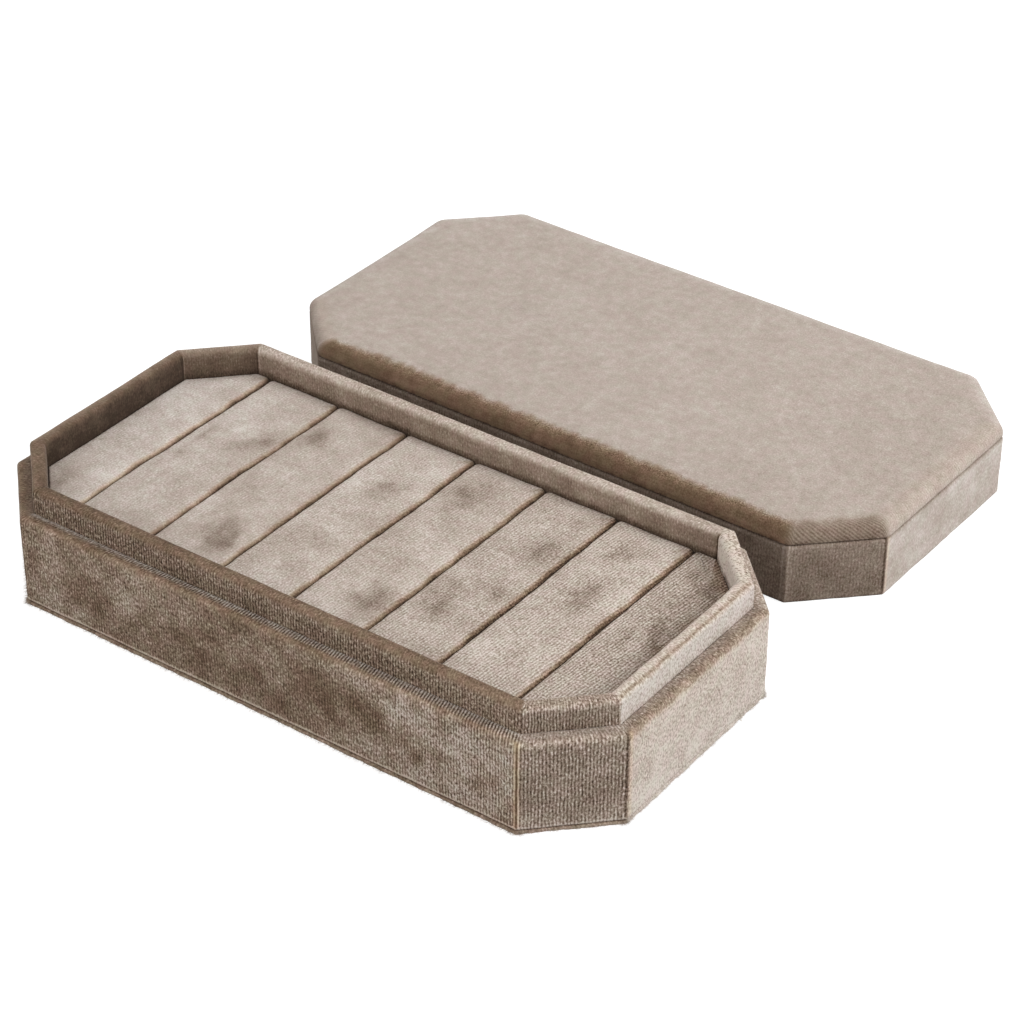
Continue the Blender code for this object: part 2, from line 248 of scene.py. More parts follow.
# %% [markdown]
# ## Cloth as a grid
#
# A strip of velvet that is glued round a box can be seen as a grid. Its columns stand side by side
# round the outline, and its rows follow the fold: under the board, up the wall, over the edge and
# down inside. A sweep along a curve object would do too, but on a grid each point knows its side
# and its place in the fold, and that is what the pile's shading needs.

# %% The outline
def octagon(inset=0.0):
    """Corners of the box's outline moved inwards, anticlockwise from the front side's left end."""
    x, y = HALF_X - inset, HALF_Y - inset
    leg = CORNER_LEG - inset * (2 - math.sqrt(2))
    right = [(x - leg, -y), (x, leg - y), (x, y - leg), (x - leg, y)]
    return np.array([(leg - x, -y), *right, (leg - x, y), (-x, y - leg), (-x, leg - y)])


print("corners in mm:", np.round(octagon() / MM, 1).tolist())

# %% Columns round an outline
Columns = collections.namedtuple("Columns", "root slope facing side share")
GRID = 0.48 * MM
ARC_STEPS = 6
NEAR_CORNER = np.linspace(0.2, 1.2, 6) * MM


def columns_round(corners, spacing):
    """Columns round a convex outline whose upright edges are rounded.

    Moving the sides in by q moves each corner by q times its mitre vector. A column's place at
    inset q and corner radius r is root + (q + r) * slope + r * facing. Along a side, root and slope
    run evenly from one corner's values to the next one's. Round a corner they stay the same, and
    the facing direction turns. The number of the side runs on evenly through each corner's turn,
    and share is how far along its side a column stands. A few columns are added near each corner.
    """
    ways = np.roll(corners, -1, axis=0) - corners
    angles = np.arctan2(-ways[:, 0], ways[:, 1])
    facing = np.column_stack([np.cos(angles), np.sin(angles)])
    before = np.roll(facing, 1, axis=0)
    mitres = -(facing + before) / (1 + (facing * before).sum(axis=1))[:, None]
    roots, slopes, turns, sides, shares = [], [], [], [], []
    for side, length in enumerate(np.linalg.norm(ways, axis=1)):
        after = (side + 1) % len(corners)
        turn = (angles[side] - angles[side - 1]) % (2 * math.pi)
        round_corner = np.linspace(-1, 0, ARC_STEPS + 1)
        even = np.linspace(0, 1, max(2, round(length / spacing)) + 1)[1:-1]
        near = NEAR_CORNER[2 * NEAR_CORNER < length] / length
        along_side = np.unique(np.concatenate([even, near, 1 - near]))
        share = np.concatenate([0 * round_corner, along_side])[:, None]
        roots.append(corners[side] * (1 - share) + corners[after] * share)
        slopes.append(mitres[side] * (1 - share) + mitres[after] * share)
        turns.append(angles[side] + np.concatenate([round_corner * turn, 0 * along_side]))
        sides.append(side + np.concatenate([round_corner, 0 * along_side]))
        shares.append(share[:, 0])
    turns = np.concatenate(turns)
    facing = np.column_stack([np.cos(turns), np.sin(turns)])
    roots, slopes, sides, shares = (np.concatenate(parts) for parts in (roots, slopes, sides, shares))
    return Columns(roots, slopes, facing, sides, shares)


def swept(columns, inset, height, radius):
    """Points with these insets, heights and corner radii, given by row, or by row and column."""
    shape = len(radius), len(columns.side)
    inset, height, radius = (np.asarray(value, float) for value in (inset, height, radius))
    inset, height, radius = (np.broadcast_to(value.reshape(shape[0], -1), shape)[..., None]
                             for value in (inset, height, radius))
    plan = columns.root + (inset + radius) * columns.slope + radius * columns.facing
    return np.concatenate([plan, height], axis=2)


wall_columns = columns_round(octagon(), GRID)
print(len(wall_columns.side), "columns round the box")

# %% Rows along a fold
FOLD_STEPS = 8


def folded(corners, cuts, spacings):
    """Rows of a strip that is folded along a route of (inset, height) corners.

    Each fold is cut back on both sides by its own length and bridged by the parabola
    (1 - t)^2 start + 2 t (1 - t) corner + t^2 end. Rows are set out evenly from the middle of one
    fold to the middle of the next, each stretch with its own spacing. Returns the rows, their
    distances along the strip and the distances of the folds.
    """
    corners = np.asarray(corners, float)
    t = np.linspace(0, 1, FOLD_STEPS + 1)[:, None]
    path = [corners[:1]]
    for before, corner, after, cut in zip(corners, corners[1:], corners[2:], cuts):
        start = corner + cut * (before - corner) / np.linalg.norm(before - corner)
        end = corner + cut * (after - corner) / np.linalg.norm(after - corner)
        path.append((1 - t) ** 2 * start + 2 * t * (1 - t) * corner + t ** 2 * end)
    path = np.concatenate([*path, corners[-1:]])
    distance = np.concatenate([[0], np.cumsum(np.linalg.norm(np.diff(path, axis=0), axis=1))])
    middles = 1 + FOLD_STEPS // 2 + (FOLD_STEPS + 1) * np.arange(len(cuts))
    marks = [0, *distance[middles], distance[-1]]
    wanted = [np.linspace(start, end, max(1, round((end - start) / spacing)), endpoint=False)
              for start, end, spacing in zip(marks, marks[1:], spacings)]
    wanted = np.concatenate([*wanted, marks[-1:]])
    rows = np.column_stack([np.interp(wanted, distance, path[:, axis]) for axis in (0, 1)])
    return rows, wanted, marks[1:-1]


def row_normals(rows):
    """The way each row's cloth faces, as (inset, height): its slope along the strip, turned by 90."""
    slope = np.gradient(rows, axis=0)
    slope /= np.linalg.norm(slope, axis=1)[:, None]
    return np.column_stack([-slope[:, 1], slope[:, 0]])


def facing_out(columns, normals):
    """Normals of a grid of columns from those of its rows: inset turned about, along each facing."""
    plan = -normals[:, :1, None] * columns.facing
    return np.concatenate([plan, np.broadcast_to(normals[:, 1:, None], (*plan.shape[:2], 1))], axis=2)


print("each fold is a parabola in", FOLD_STEPS, "steps")

# %% Unevenness
LATTICE = 32


def noise(points, size, seed):
    """Smooth noise from -1 to 1: random values on a lattice with cells of that size.

    Inside a cell the eight corner values are blended by s * s * (3 - 2 s) of the place in it.
    """
    table = np.random.default_rng(seed).uniform(-1, 1, (LATTICE, LATTICE, LATTICE))
    place = points / size
    cell = np.floor(place).astype(int)
    share = place - cell
    share = share * share * (3 - 2 * share)
    total = 0
    for corner in np.ndindex(2, 2, 2):
        x, y, z = np.moveaxis((cell + corner) % LATTICE, -1, 0)
        total = total + np.prod(np.where(corner, share, 1 - share), axis=-1) * table[x, y, z]
    return total


def uneven(points, *waves):
    """Waves of noise added up, each given as (height, size, seed) with the lengths in millimetres."""
    return sum(height * MM * noise(points, size * MM, seed) for height, size, seed in waves)


def smooth_step(value, low, high):
    """0 below low, 1 above high, and s * s * (3 - 2 s) between them."""
    share = np.clip((value - low) / (high - low), 0, 1)
    return share * share * (3 - 2 * share)


def plateau(value, start, full, fading, end):
    """1 from full to fading, 0 before start and after end, and smooth steps between them."""
    return smooth_step(value, start, full) * (1 - smooth_step(value, fading, end))


print("the noise repeats after", LATTICE, "cells")

# %% A grid becomes a piece
WELD = 0.001 * MM
# What each point tells the shader, and its value where none is given
USUAL = {"nap": 0.5, "ribs": 0.0, "warm": 0.0, "grain": 1.0}


def dressed(name, mesh, values):
    """An object of a mesh whose vertices carry values for the shader, one a vertex or one for all."""
    for key, value in {**USUAL, **values}.items():
        value = np.broadcast_to(value, len(mesh.vertices)).astype(np.float32)
        mesh.attributes.new(key, "FLOAT", "POINT").data.foreach_set("value", value)
    piece = bpy.data.objects.new(name, mesh)
    bpy.context.scene.collection.objects.link(piece)
    print(f"{name}: {len(mesh.polygons)} triangles")
    return piece


def grid_piece(name, points, pile, values, turn_length=0.0, closed=True, plain=None):
    """A mesh object from a grid of points whose columns close, and whose rows may.

    Points that fall together, as along a spine, become one, and triangles without area are left
    out. Plain is the grid before it was moved, if it was, and says which points those are. Pile
    holds each point's place on the cloth, across its ribs and along them, in metres. It grows by
    the turn length where the last column meets the first.
    """
    rows, cols = points.shape[:2]
    row, col = np.mgrid[0:rows if closed else rows - 1, 0:cols]
    corners = [(row, col), (row, col + 1), (row + 1, col + 1), (row + 1, col)]
    place = np.stack([(r % rows) * cols + c % cols for r, c in corners], -1)
    over = np.stack([c == cols for r, c in corners], -1) * turn_length
    cloth = pile.reshape(-1, 2)[place] + np.stack([over, 0 * over], -1)
    flat = points.reshape(-1, 3)
    grid = np.round((flat if plain is None else plain.reshape(-1, 3)) / WELD).astype(np.int64)
    _, first, index = np.unique(grid, axis=0, return_index=True, return_inverse=True)
    halves = [0, 1, 2, 0, 2, 3]
    corner = index.reshape(-1)[place[..., halves]].reshape(-1, 3)
    cloth = cloth[..., halves, :].reshape(-1, 3, 2)
    solid = (corner != np.roll(corner, 1, axis=1)).all(axis=1)
    corner, cloth = corner[solid], cloth[solid]
    mesh = bpy.data.meshes.new(name)
    mesh.vertices.add(len(first))
    mesh.vertices.foreach_set("co", flat[first].astype(np.float32).ravel())
    mesh.loops.add(corner.size)
    mesh.loops.foreach_set("vertex_index", corner.astype(np.int32).ravel())
    mesh.polygons.add(len(corner))
    mesh.polygons.foreach_set("loop_start", np.arange(0, corner.size, 3, dtype=np.int32))
    mesh.update(calc_edges=True)
    layer = mesh.uv_layers.new(name="pile")
    layer.data.foreach_set("uv", (cloth / MM).astype(np.float32).ravel())
    mesh.validate()
    mesh.shade_smooth()
    return dressed(name, mesh, {key: np.broadcast_to(value, points.shape[:2]).reshape(-1)[first]
                                for key, value in values.items()})


def settle(piece, material, body, slot, *nodes):
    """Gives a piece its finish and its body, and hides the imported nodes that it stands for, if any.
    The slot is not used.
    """
    piece.data.materials.append(material)
    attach(piece, body)
    if nodes:
        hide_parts(*nodes)


print("each point carries", *USUAL)

# %% [markdown]
# ## Velvet
#
# Velvet is a woven ground with a dense pile that leans one way. Where the eye looks along the lean
# it meets the sides of the fibres and sees a pale, slightly pink sheen, and where it looks into the
# pile it sees the dark between them. Photographs of velvet owe most of their light and dark to
# that, and not to the lamps. A true model would need millions of fibres, so here that sheen and
# dark, as seen from the front, is painted into the cloth's colour: each point of the cloth carries a
# value, nap, from 0 for dark to 1 for pale. The nap also holds painted shade in folds, creases,
# corners and slots, and painted highlights along rounded edges. It is painted side by side for the
# way the strips were wrapped, and the shader roughens it with patches where the pile was pressed,
# with the ribs of the weave and with the grain of single tufts. A little sheen brightens grazing views.

# %% Steps of a shader
def mapped(tree, value, source, target=(0, 1), clamp=True):
    """A value mapped evenly from one stretch of numbers onto another."""
    made = add_node(tree, "MapRange", {"Value": value, "From Min": source[0], "From Max": source[1],
                                       "To Min": target[0], "To Max": target[1]}, clamp=clamp)
    return made.outputs[0]


def spread(tree, value, reach):
    """Maps a noise texture, which keeps near the middle of 0 to 1, onto about -reach to reach."""
    return mapped(tree, value, (0.3, 0.7), (-reach, reach), clamp=False)


def texture(tree, place, size, detail=2.0, roughness=0.6):
    """Noise whose features have this size, in the units of the coordinates that it reads."""
    made = add_node(tree, "TexNoise", {"Vector": place, "Scale": 1 / size, "Detail": detail,
                                       "Roughness": roughness})
    return made.outputs[0]


def plus(tree, first, *others):
    """The sum of two or more values."""
    for other in others:
        first = add_node(tree, "Math", {0: first, 1: other}, operation="ADD").outputs[0]
    return first


def times(tree, first, second):
    """The product of two values."""
    return add_node(tree, "Math", {0: first, 1: second}, operation="MULTIPLY").outputs[0]


def mixed_colours(tree, share, first, second, way="MIX"):
    """Two colours mixed, or the second laid over the first in another way, by a share."""
    made = add_node(tree, "Mix", {"Factor": share, "A": first, "B": second},
                    data_type="RGBA", blend_type=way)
    return made.outputs[2]


print("steps: mapped, spread, texture, plus, times and mixed_colours")

# %% The velvet's shader
# Sizes along the cloth, in millimetres, as the pile's coordinates are
RIB_PITCH = 0.8
TUFT_WIDTH = 0.42
# Sizes in the piece's own space, in metres
FINE_GRAIN = 0.5 * MM
MOTTLE = 2.6 * MM
HUE_PATCH = 1.2 * MOTTLE
PATCH = 9 * MM
WAVER = 6 * MM
BUMP_HEIGHT = 0.12 * MM
# How far the ribs' phase wavers, and the stretches of the noise that make sparks, which are painted
# glints, and turn the hue
RIB_BEND = 1.2
SPARKS = (0.64, 0.78)
HUES = (0.35, 0.65)
TINT_SHARE, WARM_TINT_SHARE = 0.25, 0.35
PILE_SURFACE = {"Roughness": 0.9, "Specular IOR Level": 0.15, "Sheen Weight": 0.2,
                "Sheen Roughness": 0.45, "Sheen Tint": colour("#e8ddd6")}
PILE_COLOURS = ((0.0, "#3b2f26"), (0.25, "#6b5c50"), (0.5, "#95877c"), (0.75, "#bfb3aa"),
                (1.0, "#e6e0db"))
BROWN_TINT = "#ffefda"
ROSY, OLIVE = "#ffe9e4", "#f3f4df"
Cloth = collections.namedtuple("Cloth", "rib tuft tuft_length fine spark mottle patch bump")


def velvet(name, cloth):
    """Pile whose lightness is nap + patches + mottle + ribs + grain, read through a ramp of colours.

    A rib is sin(2 pi across / pitch), bent a little by slow noise. The grain is tufts, which are
    noise stretched along the ribs, with finer noise and with bright sparks, painted glints, where a
    tuft stands out.
    Where the warm value is painted the cloth is browner: on the dark front sides, and along folds,
    lips and creases with their painted sheen and shade.
    """
    material, tree, shader = new_material(name)
    place = add_node(tree, "TexCoord").outputs["Object"]
    nap, ribbed, warm, grained = (add_node(tree, "Attribute", attribute_name=key).outputs["Fac"]
                                  for key in USUAL)
    flat = add_node(tree, "UVMap", uv_map="pile").outputs[0]
    across, along = add_node(tree, "SeparateXYZ", {0: flat}).outputs[:2]
    waver = spread(tree, texture(tree, place, WAVER), RIB_BEND)
    phase = plus(tree, times(tree, across, 2 * math.pi / RIB_PITCH), waver)
    wave = add_node(tree, "Math", {0: phase}, operation="SINE").outputs[0]
    rib = times(tree, times(tree, wave, ribbed), cloth.rib)
    clump = add_node(tree, "CombineXYZ", {0: times(tree, across, 1 / TUFT_WIDTH),
                                          1: times(tree, along, 1 / cloth.tuft_length)})
    tuft = texture(tree, clump.outputs[0], 1.0, 1.0)
    fine = texture(tree, place, FINE_GRAIN, 1.0)
    tufts = plus(tree, spread(tree, tuft, cloth.tuft), spread(tree, fine, cloth.fine),
                 mapped(tree, tuft, SPARKS, (0, cloth.spark)))
    grain = times(tree, tufts, grained)
    patches = plus(tree, spread(tree, texture(tree, place, PATCH, 3.0), cloth.patch),
                   spread(tree, texture(tree, place, MOTTLE, 2.0), cloth.mottle))
    ramp = add_node(tree, "ValToRGB", {0: plus(tree, nap, patches, rib, grain)})
    stops = ramp.color_ramp.elements
    while len(stops) < len(PILE_COLOURS):
        stops.new(0.5)
    for stop, (position, code) in zip(stops, PILE_COLOURS):
        stop.position, stop.color = position, colour(code)
    hue = mapped(tree, texture(tree, place, HUE_PATCH, 1.0), HUES)
    tint = mixed_colours(tree, hue, colour(ROSY), colour(OLIVE))
    tint_share = plus(tree, TINT_SHARE, times(tree, warm, WARM_TINT_SHARE))
    tinted = mixed_colours(tree, tint_share, ramp.outputs[0], tint, "MULTIPLY")
    # Browner where the warm value is painted, with the painted sheen and shade of folds, lips and
    # creases
    browned = mixed_colours(tree, warm, tinted, colour(BROWN_TINT), "MULTIPLY")
    bump = add_node(tree, "Bump", {"Height": plus(tree, rib, grain), "Strength": cloth.bump,
                                   "Distance": BUMP_HEIGHT}).outputs[0]
    set_inputs(tree, shader, {**PILE_SURFACE, "Base Color": browned, "Normal": bump})
    return material


print("the pile's ramp has", len(PILE_COLOURS), "colours from dark to pale")

# %% Four kinds of the velvet
base_velvet = velvet("rayon_velvet_base", Cloth(rib=0.1, tuft=0.22, tuft_length=0.9, fine=0.17,
                     spark=0.35, mottle=0.04, patch=0.06, bump=0.5))
roll_velvet = velvet("rayon_velvet_rolls", Cloth(rib=0.1, tuft=0.12, tuft_length=0.5, fine=0.14,
                     spark=0.1, mottle=0.04, patch=0.05, bump=0.4))
lid_velvet = velvet("rayon_velvet_lid", Cloth(rib=0.05, tuft=0.1, tuft_length=0.8, fine=0.06,
                    spark=0.05, mottle=0.05, patch=0.06, bump=0.3))
pad_velvet = velvet("rayon_velvet_pad", Cloth(rib=0.1, tuft=0.07, tuft_length=0.35, fine=0.05,
                    spark=0.0, mottle=0.045, patch=0.03, bump=0.25))
for kind in (base_velvet, roll_velvet, lid_velvet, pad_velvet):
    print(kind.name, "has", len(kind.node_tree.nodes), "nodes")

# %% [markdown]
# ## Painting the nap
#
# The strips were wrapped anticlockwise, so the pile leans that way round the box. Seen from the
# front, the long front walls are dark and the right-hand walls pale, and the sides between them lie
# between; this sheen is painted into the colour. A small table gives each strip's lightness, one row
# for each part of the fold and one value for each of the eight sides, anticlockwise from the front.

# %% Values by side and corner
SIDES = 8


def by_side(columns, values):
    """A value for each column from one value a side. Round a corner the two sides' are blended."""
    values = np.asarray(values, float)
    count = values.shape[-1]
    number = columns.side % count
    low = np.floor(number).astype(int)
    share = number - low
    return values[..., low % count] * (1 - share) + values[..., (low + 1) % count] * share


def by_corner(columns, values):
    """A value for each column from one value a corner, blended along the sides."""
    values = np.asarray(values, float)
    side = np.ceil(columns.side).astype(int)
    return values[side] * (1 - columns.share) + values[(side + 1) % len(values)] * columns.share


def paint(columns, distance, table):
    """Values on a grid, from a table of (distance, values of the sides), blended in between.

    Distance is one value a row, or one a row and column.
    """
    levels, sides = zip(*table)
    sides = by_side(columns, sides)
    distance = np.asarray(distance, float)
    distance = np.broadcast_to(distance.reshape(len(distance), -1), (len(distance), sides.shape[1]))
    return np.stack([np.interp(place, levels, column) for place, column in zip(distance.T, sides.T)], 1)


def cloth_places(columns, distance):
    """A point for each row and column: the column's place in plan, and the row's distance upwards."""
    return np.stack(np.broadcast_arrays(*columns.root.T, distance[:, None]), -1)


print("each row of a table paints", SIDES, "sides")

# %% Lines and ovals
def on_side(columns, side):
    """1 on one side, 0 on the others, and between them round its two upright edges."""
    half = SIDES / 2
    return np.clip(1 - abs((columns.side - side + half) % SIDES - half), 0, 1)


def from_corner(along, columns, corner):
    """Signed distance of each column from the middle of one upright edge, measured round the box."""
    half = SIDES / 2
    middle = along[np.argmin(abs((columns.side - corner + 0.5 + half) % SIDES - half))]
    length = along[-1]
    return (along - middle + length / 2) % length - length / 2


def line(offset, place, width):
    """A soft line across a strip: exp(-((offset - place) / width)^2)."""
    return np.exp(-((offset - place) / width) ** 2)


def edge_lines(along, columns, corner, *lines):
    """Soft lines beside an upright edge, added up, each given as (strength, place, width).

    Place and width are in millimetres, and place is measured from the middle of the edge.
    """
    offset = from_corner(along, columns, corner)
    return sum(strength * line(offset, place * MM, width * MM) for strength, place, width in lines)


def ovals(points, along, up, table):
    """Soft ovals with ragged borders, laid out in two of the points' coordinates and added up.

    Each is depth * exp(-(x / a)^2 - (y / b)^2), with its centre and half widths in millimetres and
    its turn in degrees. One with a negative depth is paler than its surroundings.
    """
    x_all = (points[..., along] + uneven(points, (1.6, 3, 60), (0.8, 1.2, 62))) / MM
    y_all = (points[..., up] + uneven(points, (1.6, 3, 61))) / MM
    total = 0
    for centre_x, centre_y, half_x, half_y, turn, depth in table:
        cosine, sine = math.cos(math.radians(turn)), math.sin(math.radians(turn))
        x, y = x_all - centre_x, y_all - centre_y
        total = total + depth * np.exp(-((cosine * x + sine * y) / half_x) ** 2
                                       - ((cosine * y - sine * x) / half_y) ** 2)
    return total


print("one width away, a soft line has fallen to", round(float(line(1, 0, 1)), 2))

# %% [markdown]
# ## The base's wall
#
# One strip of velvet covers the outside of the base. It starts under the wall boards, goes up the
# outside, over the shoulder that the lid stands on, and down between the shell and the collar. The
# upper edge is pulled over the board, so it is a soft round and not a crease.

# %% Wrapped strips
CLOTH = 0.7 * MM
HIDDEN_SPACING = 1.5 * MM
BACK_STEP = 5
BACK_NAP = 0.3
STRIP_WAVES = ((0.09, 7, 1), (0.045, 2.5, 2))
Paint = collections.namedtuple("Paint", "nap ribs warm grain relief", defaults=[0.0])


def wrapped(name, columns, route, cuts, spacings, rounds, painter):
    """A closed strip of cloth round an outline, painted by a function of its own.

    The face follows the folded route. The back lies one cloth thickness behind it, along each row's
    normal, with fewer rows. Rounds are the corner radii at the first and last inset of the route.
    The painter's relief is how far each point stands out along its normal.
    """
    rows, distance, folds = folded(route, cuts, spacings)
    normals = row_normals(rows)
    backs = np.append(np.arange(0, len(rows) - 1, BACK_STEP), len(rows) - 1)[::-1]
    strip = np.concatenate([rows, rows[backs] - CLOTH * normals[backs]])
    radii = np.interp(strip[:, 0], [rows[:, 0].min(), rows[:, 0].max()], rounds)
    points = swept(columns, strip[:, 0], strip[:, 1], radii)
    face = points[:len(rows)]
    edge = columns.root + rounds[0] * (columns.slope + columns.facing)
    steps = np.linalg.norm(np.roll(edge, -1, axis=0) - edge, axis=1)
    along = np.cumsum(steps) - steps
    paints = painter(columns, distance, folds, along)
    wave = uneven(face, *STRIP_WAVES)
    face += (wave + paints.relief)[..., None] * facing_out(columns, normals)
    values = {key: np.concatenate([getattr(paints, key), np.full((len(backs), len(along)), back)])
              for key, back in {**USUAL, "nap": BACK_NAP}.items()}
    heights = np.concatenate([distance, distance[backs]])
    pile = np.stack(np.broadcast_arrays(along[None, :], heights[:, None]), -1)
    return grid_piece(name, points, pile, values, steps.sum())


print("a strip is", round(CLOTH / MM, 1), "mm thick")

# %% Sizes and clouds of the base's wall
WALL_EDGE_CUT = 1.5 * MM
SEAM_CUT = 0.5 * MM
SEAM_DROP = 0.6 * MM
LEDGE_CUT = 0.15 * MM
UPRIGHT_ROUND = 0.9 * MM
TUCK = 7 * MM
# How far past the wall's upper edge the ledge's coarse ribs begin, at its left and its right end
HATCH_LEFT, HATCH_RIGHT = 2.1 * MM, 0.4 * MM
# Clouds on the front wall: place along the wall from its middle and height, half widths along and
# up, in millimetres, the turn in degrees, and how much of the nap each takes away
CLOUDS = (
    (-66, 7, 5, 5, 0, -0.07),
    (-60, 12, 14, 8, 0, 0.05),
    (-50, 6, 5, 5, 20, 0.1),
    (-39, 15, 5, 5, 0, -0.1),
    (-17, 11, 8, 7, 10, 0.13),
    (-9, 17, 4, 4, 0, -0.05),
    (4, 8, 8, 6, 0, 0.13),
    (22, 17, 11, 6, -10, 0.17),
    (32, 16, 5, 5, 0, 0.08),
    (42, 21, 7, 4, 0, -0.16),
    (46, 11, 5, 3.5, 0, 0.18),
    (59, 14, 5, 9, 0, -0.12),
    (68, 21, 5, 4, 0, -0.14),
)
print(len(CLOUDS), "clouds on the front wall")

# %% The base's wall and shoulder
def paint_shell(columns, distance, folds, along):
    """The base's wall: seam, wall, upper edge, shoulder and the tuck behind it."""
    seam, edge, inner = folds
    place = cloth_places(columns, distance)
    loose = plateau(distance, seam + 1 * MM, seam + 4 * MM, inner - 1.5 * MM, inner - 0.5 * MM)[:, None]
    ragged = distance[:, None] + loose * uneven(place, (0.4, 5, 32), (0.35, 1.6, 33))
    # Painted sheen by side, a painted highlight along the fold at the foot and along the front right
    # side's upper edge, painted light in the front's corner at the collar's foot, which the collar
    # shades, and painted shade where the strip turns under the board and down beside the collar
    nap = paint(columns, ragged, [
        (seam - 0.4 * MM, (0.1, 0.1, 0.6, 0.4, 0.1, 0.1, 0.1, 0.1)),
        (seam, (0.9, 0.8, 0.86, 0.7, 0.5, 0.5, 0.6, 0.8)),
        (seam + 0.4 * MM, (1.1, 0.94, 0.92, 0.8, 0.6, 0.55, 0.8, 1.0)),
        (seam + 0.9 * MM, (0.45, 0.56, 0.86, 0.8, 0.55, 0.5, 0.45, 0.45)),
        (seam + 8.0 * MM, (0.42, 0.44, 0.83, 0.8, 0.55, 0.5, 0.45, 0.45)),
        (seam + 12 * MM, (0.46, 0.46, 0.82, 0.8, 0.55, 0.5, 0.45, 0.45)),
        (edge - 3.0 * MM, (0.45, 0.49, 0.84, 0.8, 0.55, 0.5, 0.45, 0.43)),
        (edge - 1.3 * MM, (0.46, 0.5, 0.82, 0.8, 0.5, 0.45, 0.45, 0.45)),
        (edge - 0.6 * MM, (0.48, 0.68, 0.56, 0.7, 0.45, 0.4, 0.4, 0.45)),
        (edge + 0.4 * MM, (0.44, 0.56, 0.43, 0.66, 0.5, 0.35, 0.35, 0.38)),
        (inner - 1.4 * MM, (0.36, 0.6, 0.47, 0.62, 0.45, 0.3, 0.25, 0.34)),
        (inner - 0.6 * MM, (0.46, 0.64, 0.53, 0.6, 0.4, 0.3, 0.25, 0.36)),
        (inner, (0.76, 0.62, 0.56, 0.5, 0.4, 0.3, 0.3, 0.4)),
        (inner + 0.6 * MM, (0.3, 0.3, 0.2, 0.3, 0.2, 0.1, 0.1, 0.2)),
    ])
    ribs = paint(columns, distance, [
        (edge - 0.8 * MM, (0.9, 1.8, 0.1, 0.3, 0.6, 0.8, 0.4, 0.8)),
        (edge + 0.4 * MM, (0.3, 0.8, 0.1, 0.3, 0.6, 0.8, 0.4, 0.4)),
    ])
    warm = paint(columns, ragged, [
        (seam + 0.4 * MM, (0.6, 0.2, 0.1, 0.1, 0.1, 0.1, 0.2, 0.3)),
        (edge - 2.6 * MM, (0.6, 0.2, 0.2, 0.1, 0.1, 0.1, 0.2, 0.3)),
        (edge - 0.8 * MM, (0.7, 0.3, 0.5, 0.2, 0.3, 0.3, 0.4, 0.6)),
        (edge + 0.8 * MM, (0.85, 0.2, 0.4, 0.2, 0.3, 0.3, 0.5, 0.8)),
        (inner - 1.2 * MM, (0.6, 0.1, 0.1, 0.1, 0.2, 0.2, 0.3, 0.5)),
        (inner - 0.3 * MM, (0.2, 0.1, 0.0, 0.1, 0.2, 0.2, 0.3, 0.4)),
    ])
    grain = paint(columns, distance, [
        (edge - 1.2 * MM, (0.95, 0.95, 0.95, 1.0, 0.8, 0.5, 0.5, 0.7)),
        (edge - 0.3 * MM, (0.6, 1.3, 0.8, 1.0, 0.8, 0.5, 0.4, 0.5)),
        (edge + 0.5 * MM, (0.6, 0.8, 0.9, 1.0, 0.8, 0.5, 0.4, 0.5)),
        (inner - 0.5 * MM, (1.2, 0.8, 0.9, 1.0, 0.8, 0.5, 0.4, 0.5)),
    ])
    wall = plateau(distance, seam, seam + 1 * MM, edge, edge + 1 * MM)[:, None]
    front = on_side(columns, 0)
    rightwards = smooth_step(columns.root[:, 0], 0.1 * HALF_X, 0.8 * HALF_X)
    mottled = 0.07 * noise(place, 9 * MM, 30) + (0.11 + 0.04 * rightwards) * noise(place, 3.5 * MM, 31)
    clouds = mottled - ovals(place - (0, 0, seam - SEAM_Z), 0, 2, CLOUDS)
    # The front wall is mottled with clouds of pressed pile, and painted lighter and less brown towards
    # its right end, as painted sheen; the right wall is painted a little lighter
    nap += wall * front * (0.05 + clouds + 0.1 * rightwards)
    nap += wall * on_side(columns, 2) * (0.04 + 0.5 * mottled)
    warm -= wall * front * (0.05 + clouds + 0.15 * rightwards)
    ribs += wall * front * 1.1 * rightwards
    grain += wall * front * (0.1 + 0.2 * rightwards + 1.5 * np.clip(clouds, -0.2, 0.2))
    share = np.clip(0.5 + 0.5 * columns.root[:, 0] / HALF_X, 0, 1)
    border = edge + HATCH_LEFT * (1 - share) + HATCH_RIGHT * share
    hatched = smooth_step(distance[:, None], border - 0.4 * MM, border + 0.4 * MM) * front
    ribs += hatched * (0.8 + 2.2 * smooth_step(share, 0.1, 0.5))
    nap += hatched * 0.1
    warm -= hatched * 0.4
    # Painted highlights and painted dark lines on the rounded upright edges at both ends of the front
    # right side, which are browner there
    nap += wall * edge_lines(along, columns, 1, (0.34, -0.55, 0.2), (0.34, 0.45, 0.2), (-0.16, 0, 0.25))
    nap += wall * edge_lines(along, columns, 2, (0.06, 1.0, 0.5), (-0.4, -0.35, 0.25))
    warm += wall * edge_lines(along, columns, 1, (0.7, 0, 0.8))
    warm += wall * edge_lines(along, columns, 2, (0.4, 0.6, 0.8))
    grain *= 1 - wall * edge_lines(along, columns, 1, (0.6, 0, 0.6))
    return Paint(nap, ribs, np.clip(warm, 0, 1), grain)


foot = SEAM_Z - SEAM_DROP
shell_route = [(TUCK, foot), (0, foot), (0, SHOULDER_Z), (COLLAR_START, SHOULDER_Z),
               (COLLAR_START, SHOULDER_Z - TUCK)]
shell_wrap = wrapped("shell_wrap", wall_columns, shell_route, (SEAM_CUT, WALL_EDGE_CUT, LEDGE_CUT),
                     (HIDDEN_SPACING, GRID, GRID, HIDDEN_SPACING), (UPRIGHT_ROUND, UPRIGHT_ROUND / 2),
                     paint_shell)
settle(shell_wrap, base_velvet, "base", "wall_velvet", "shell_velvet")

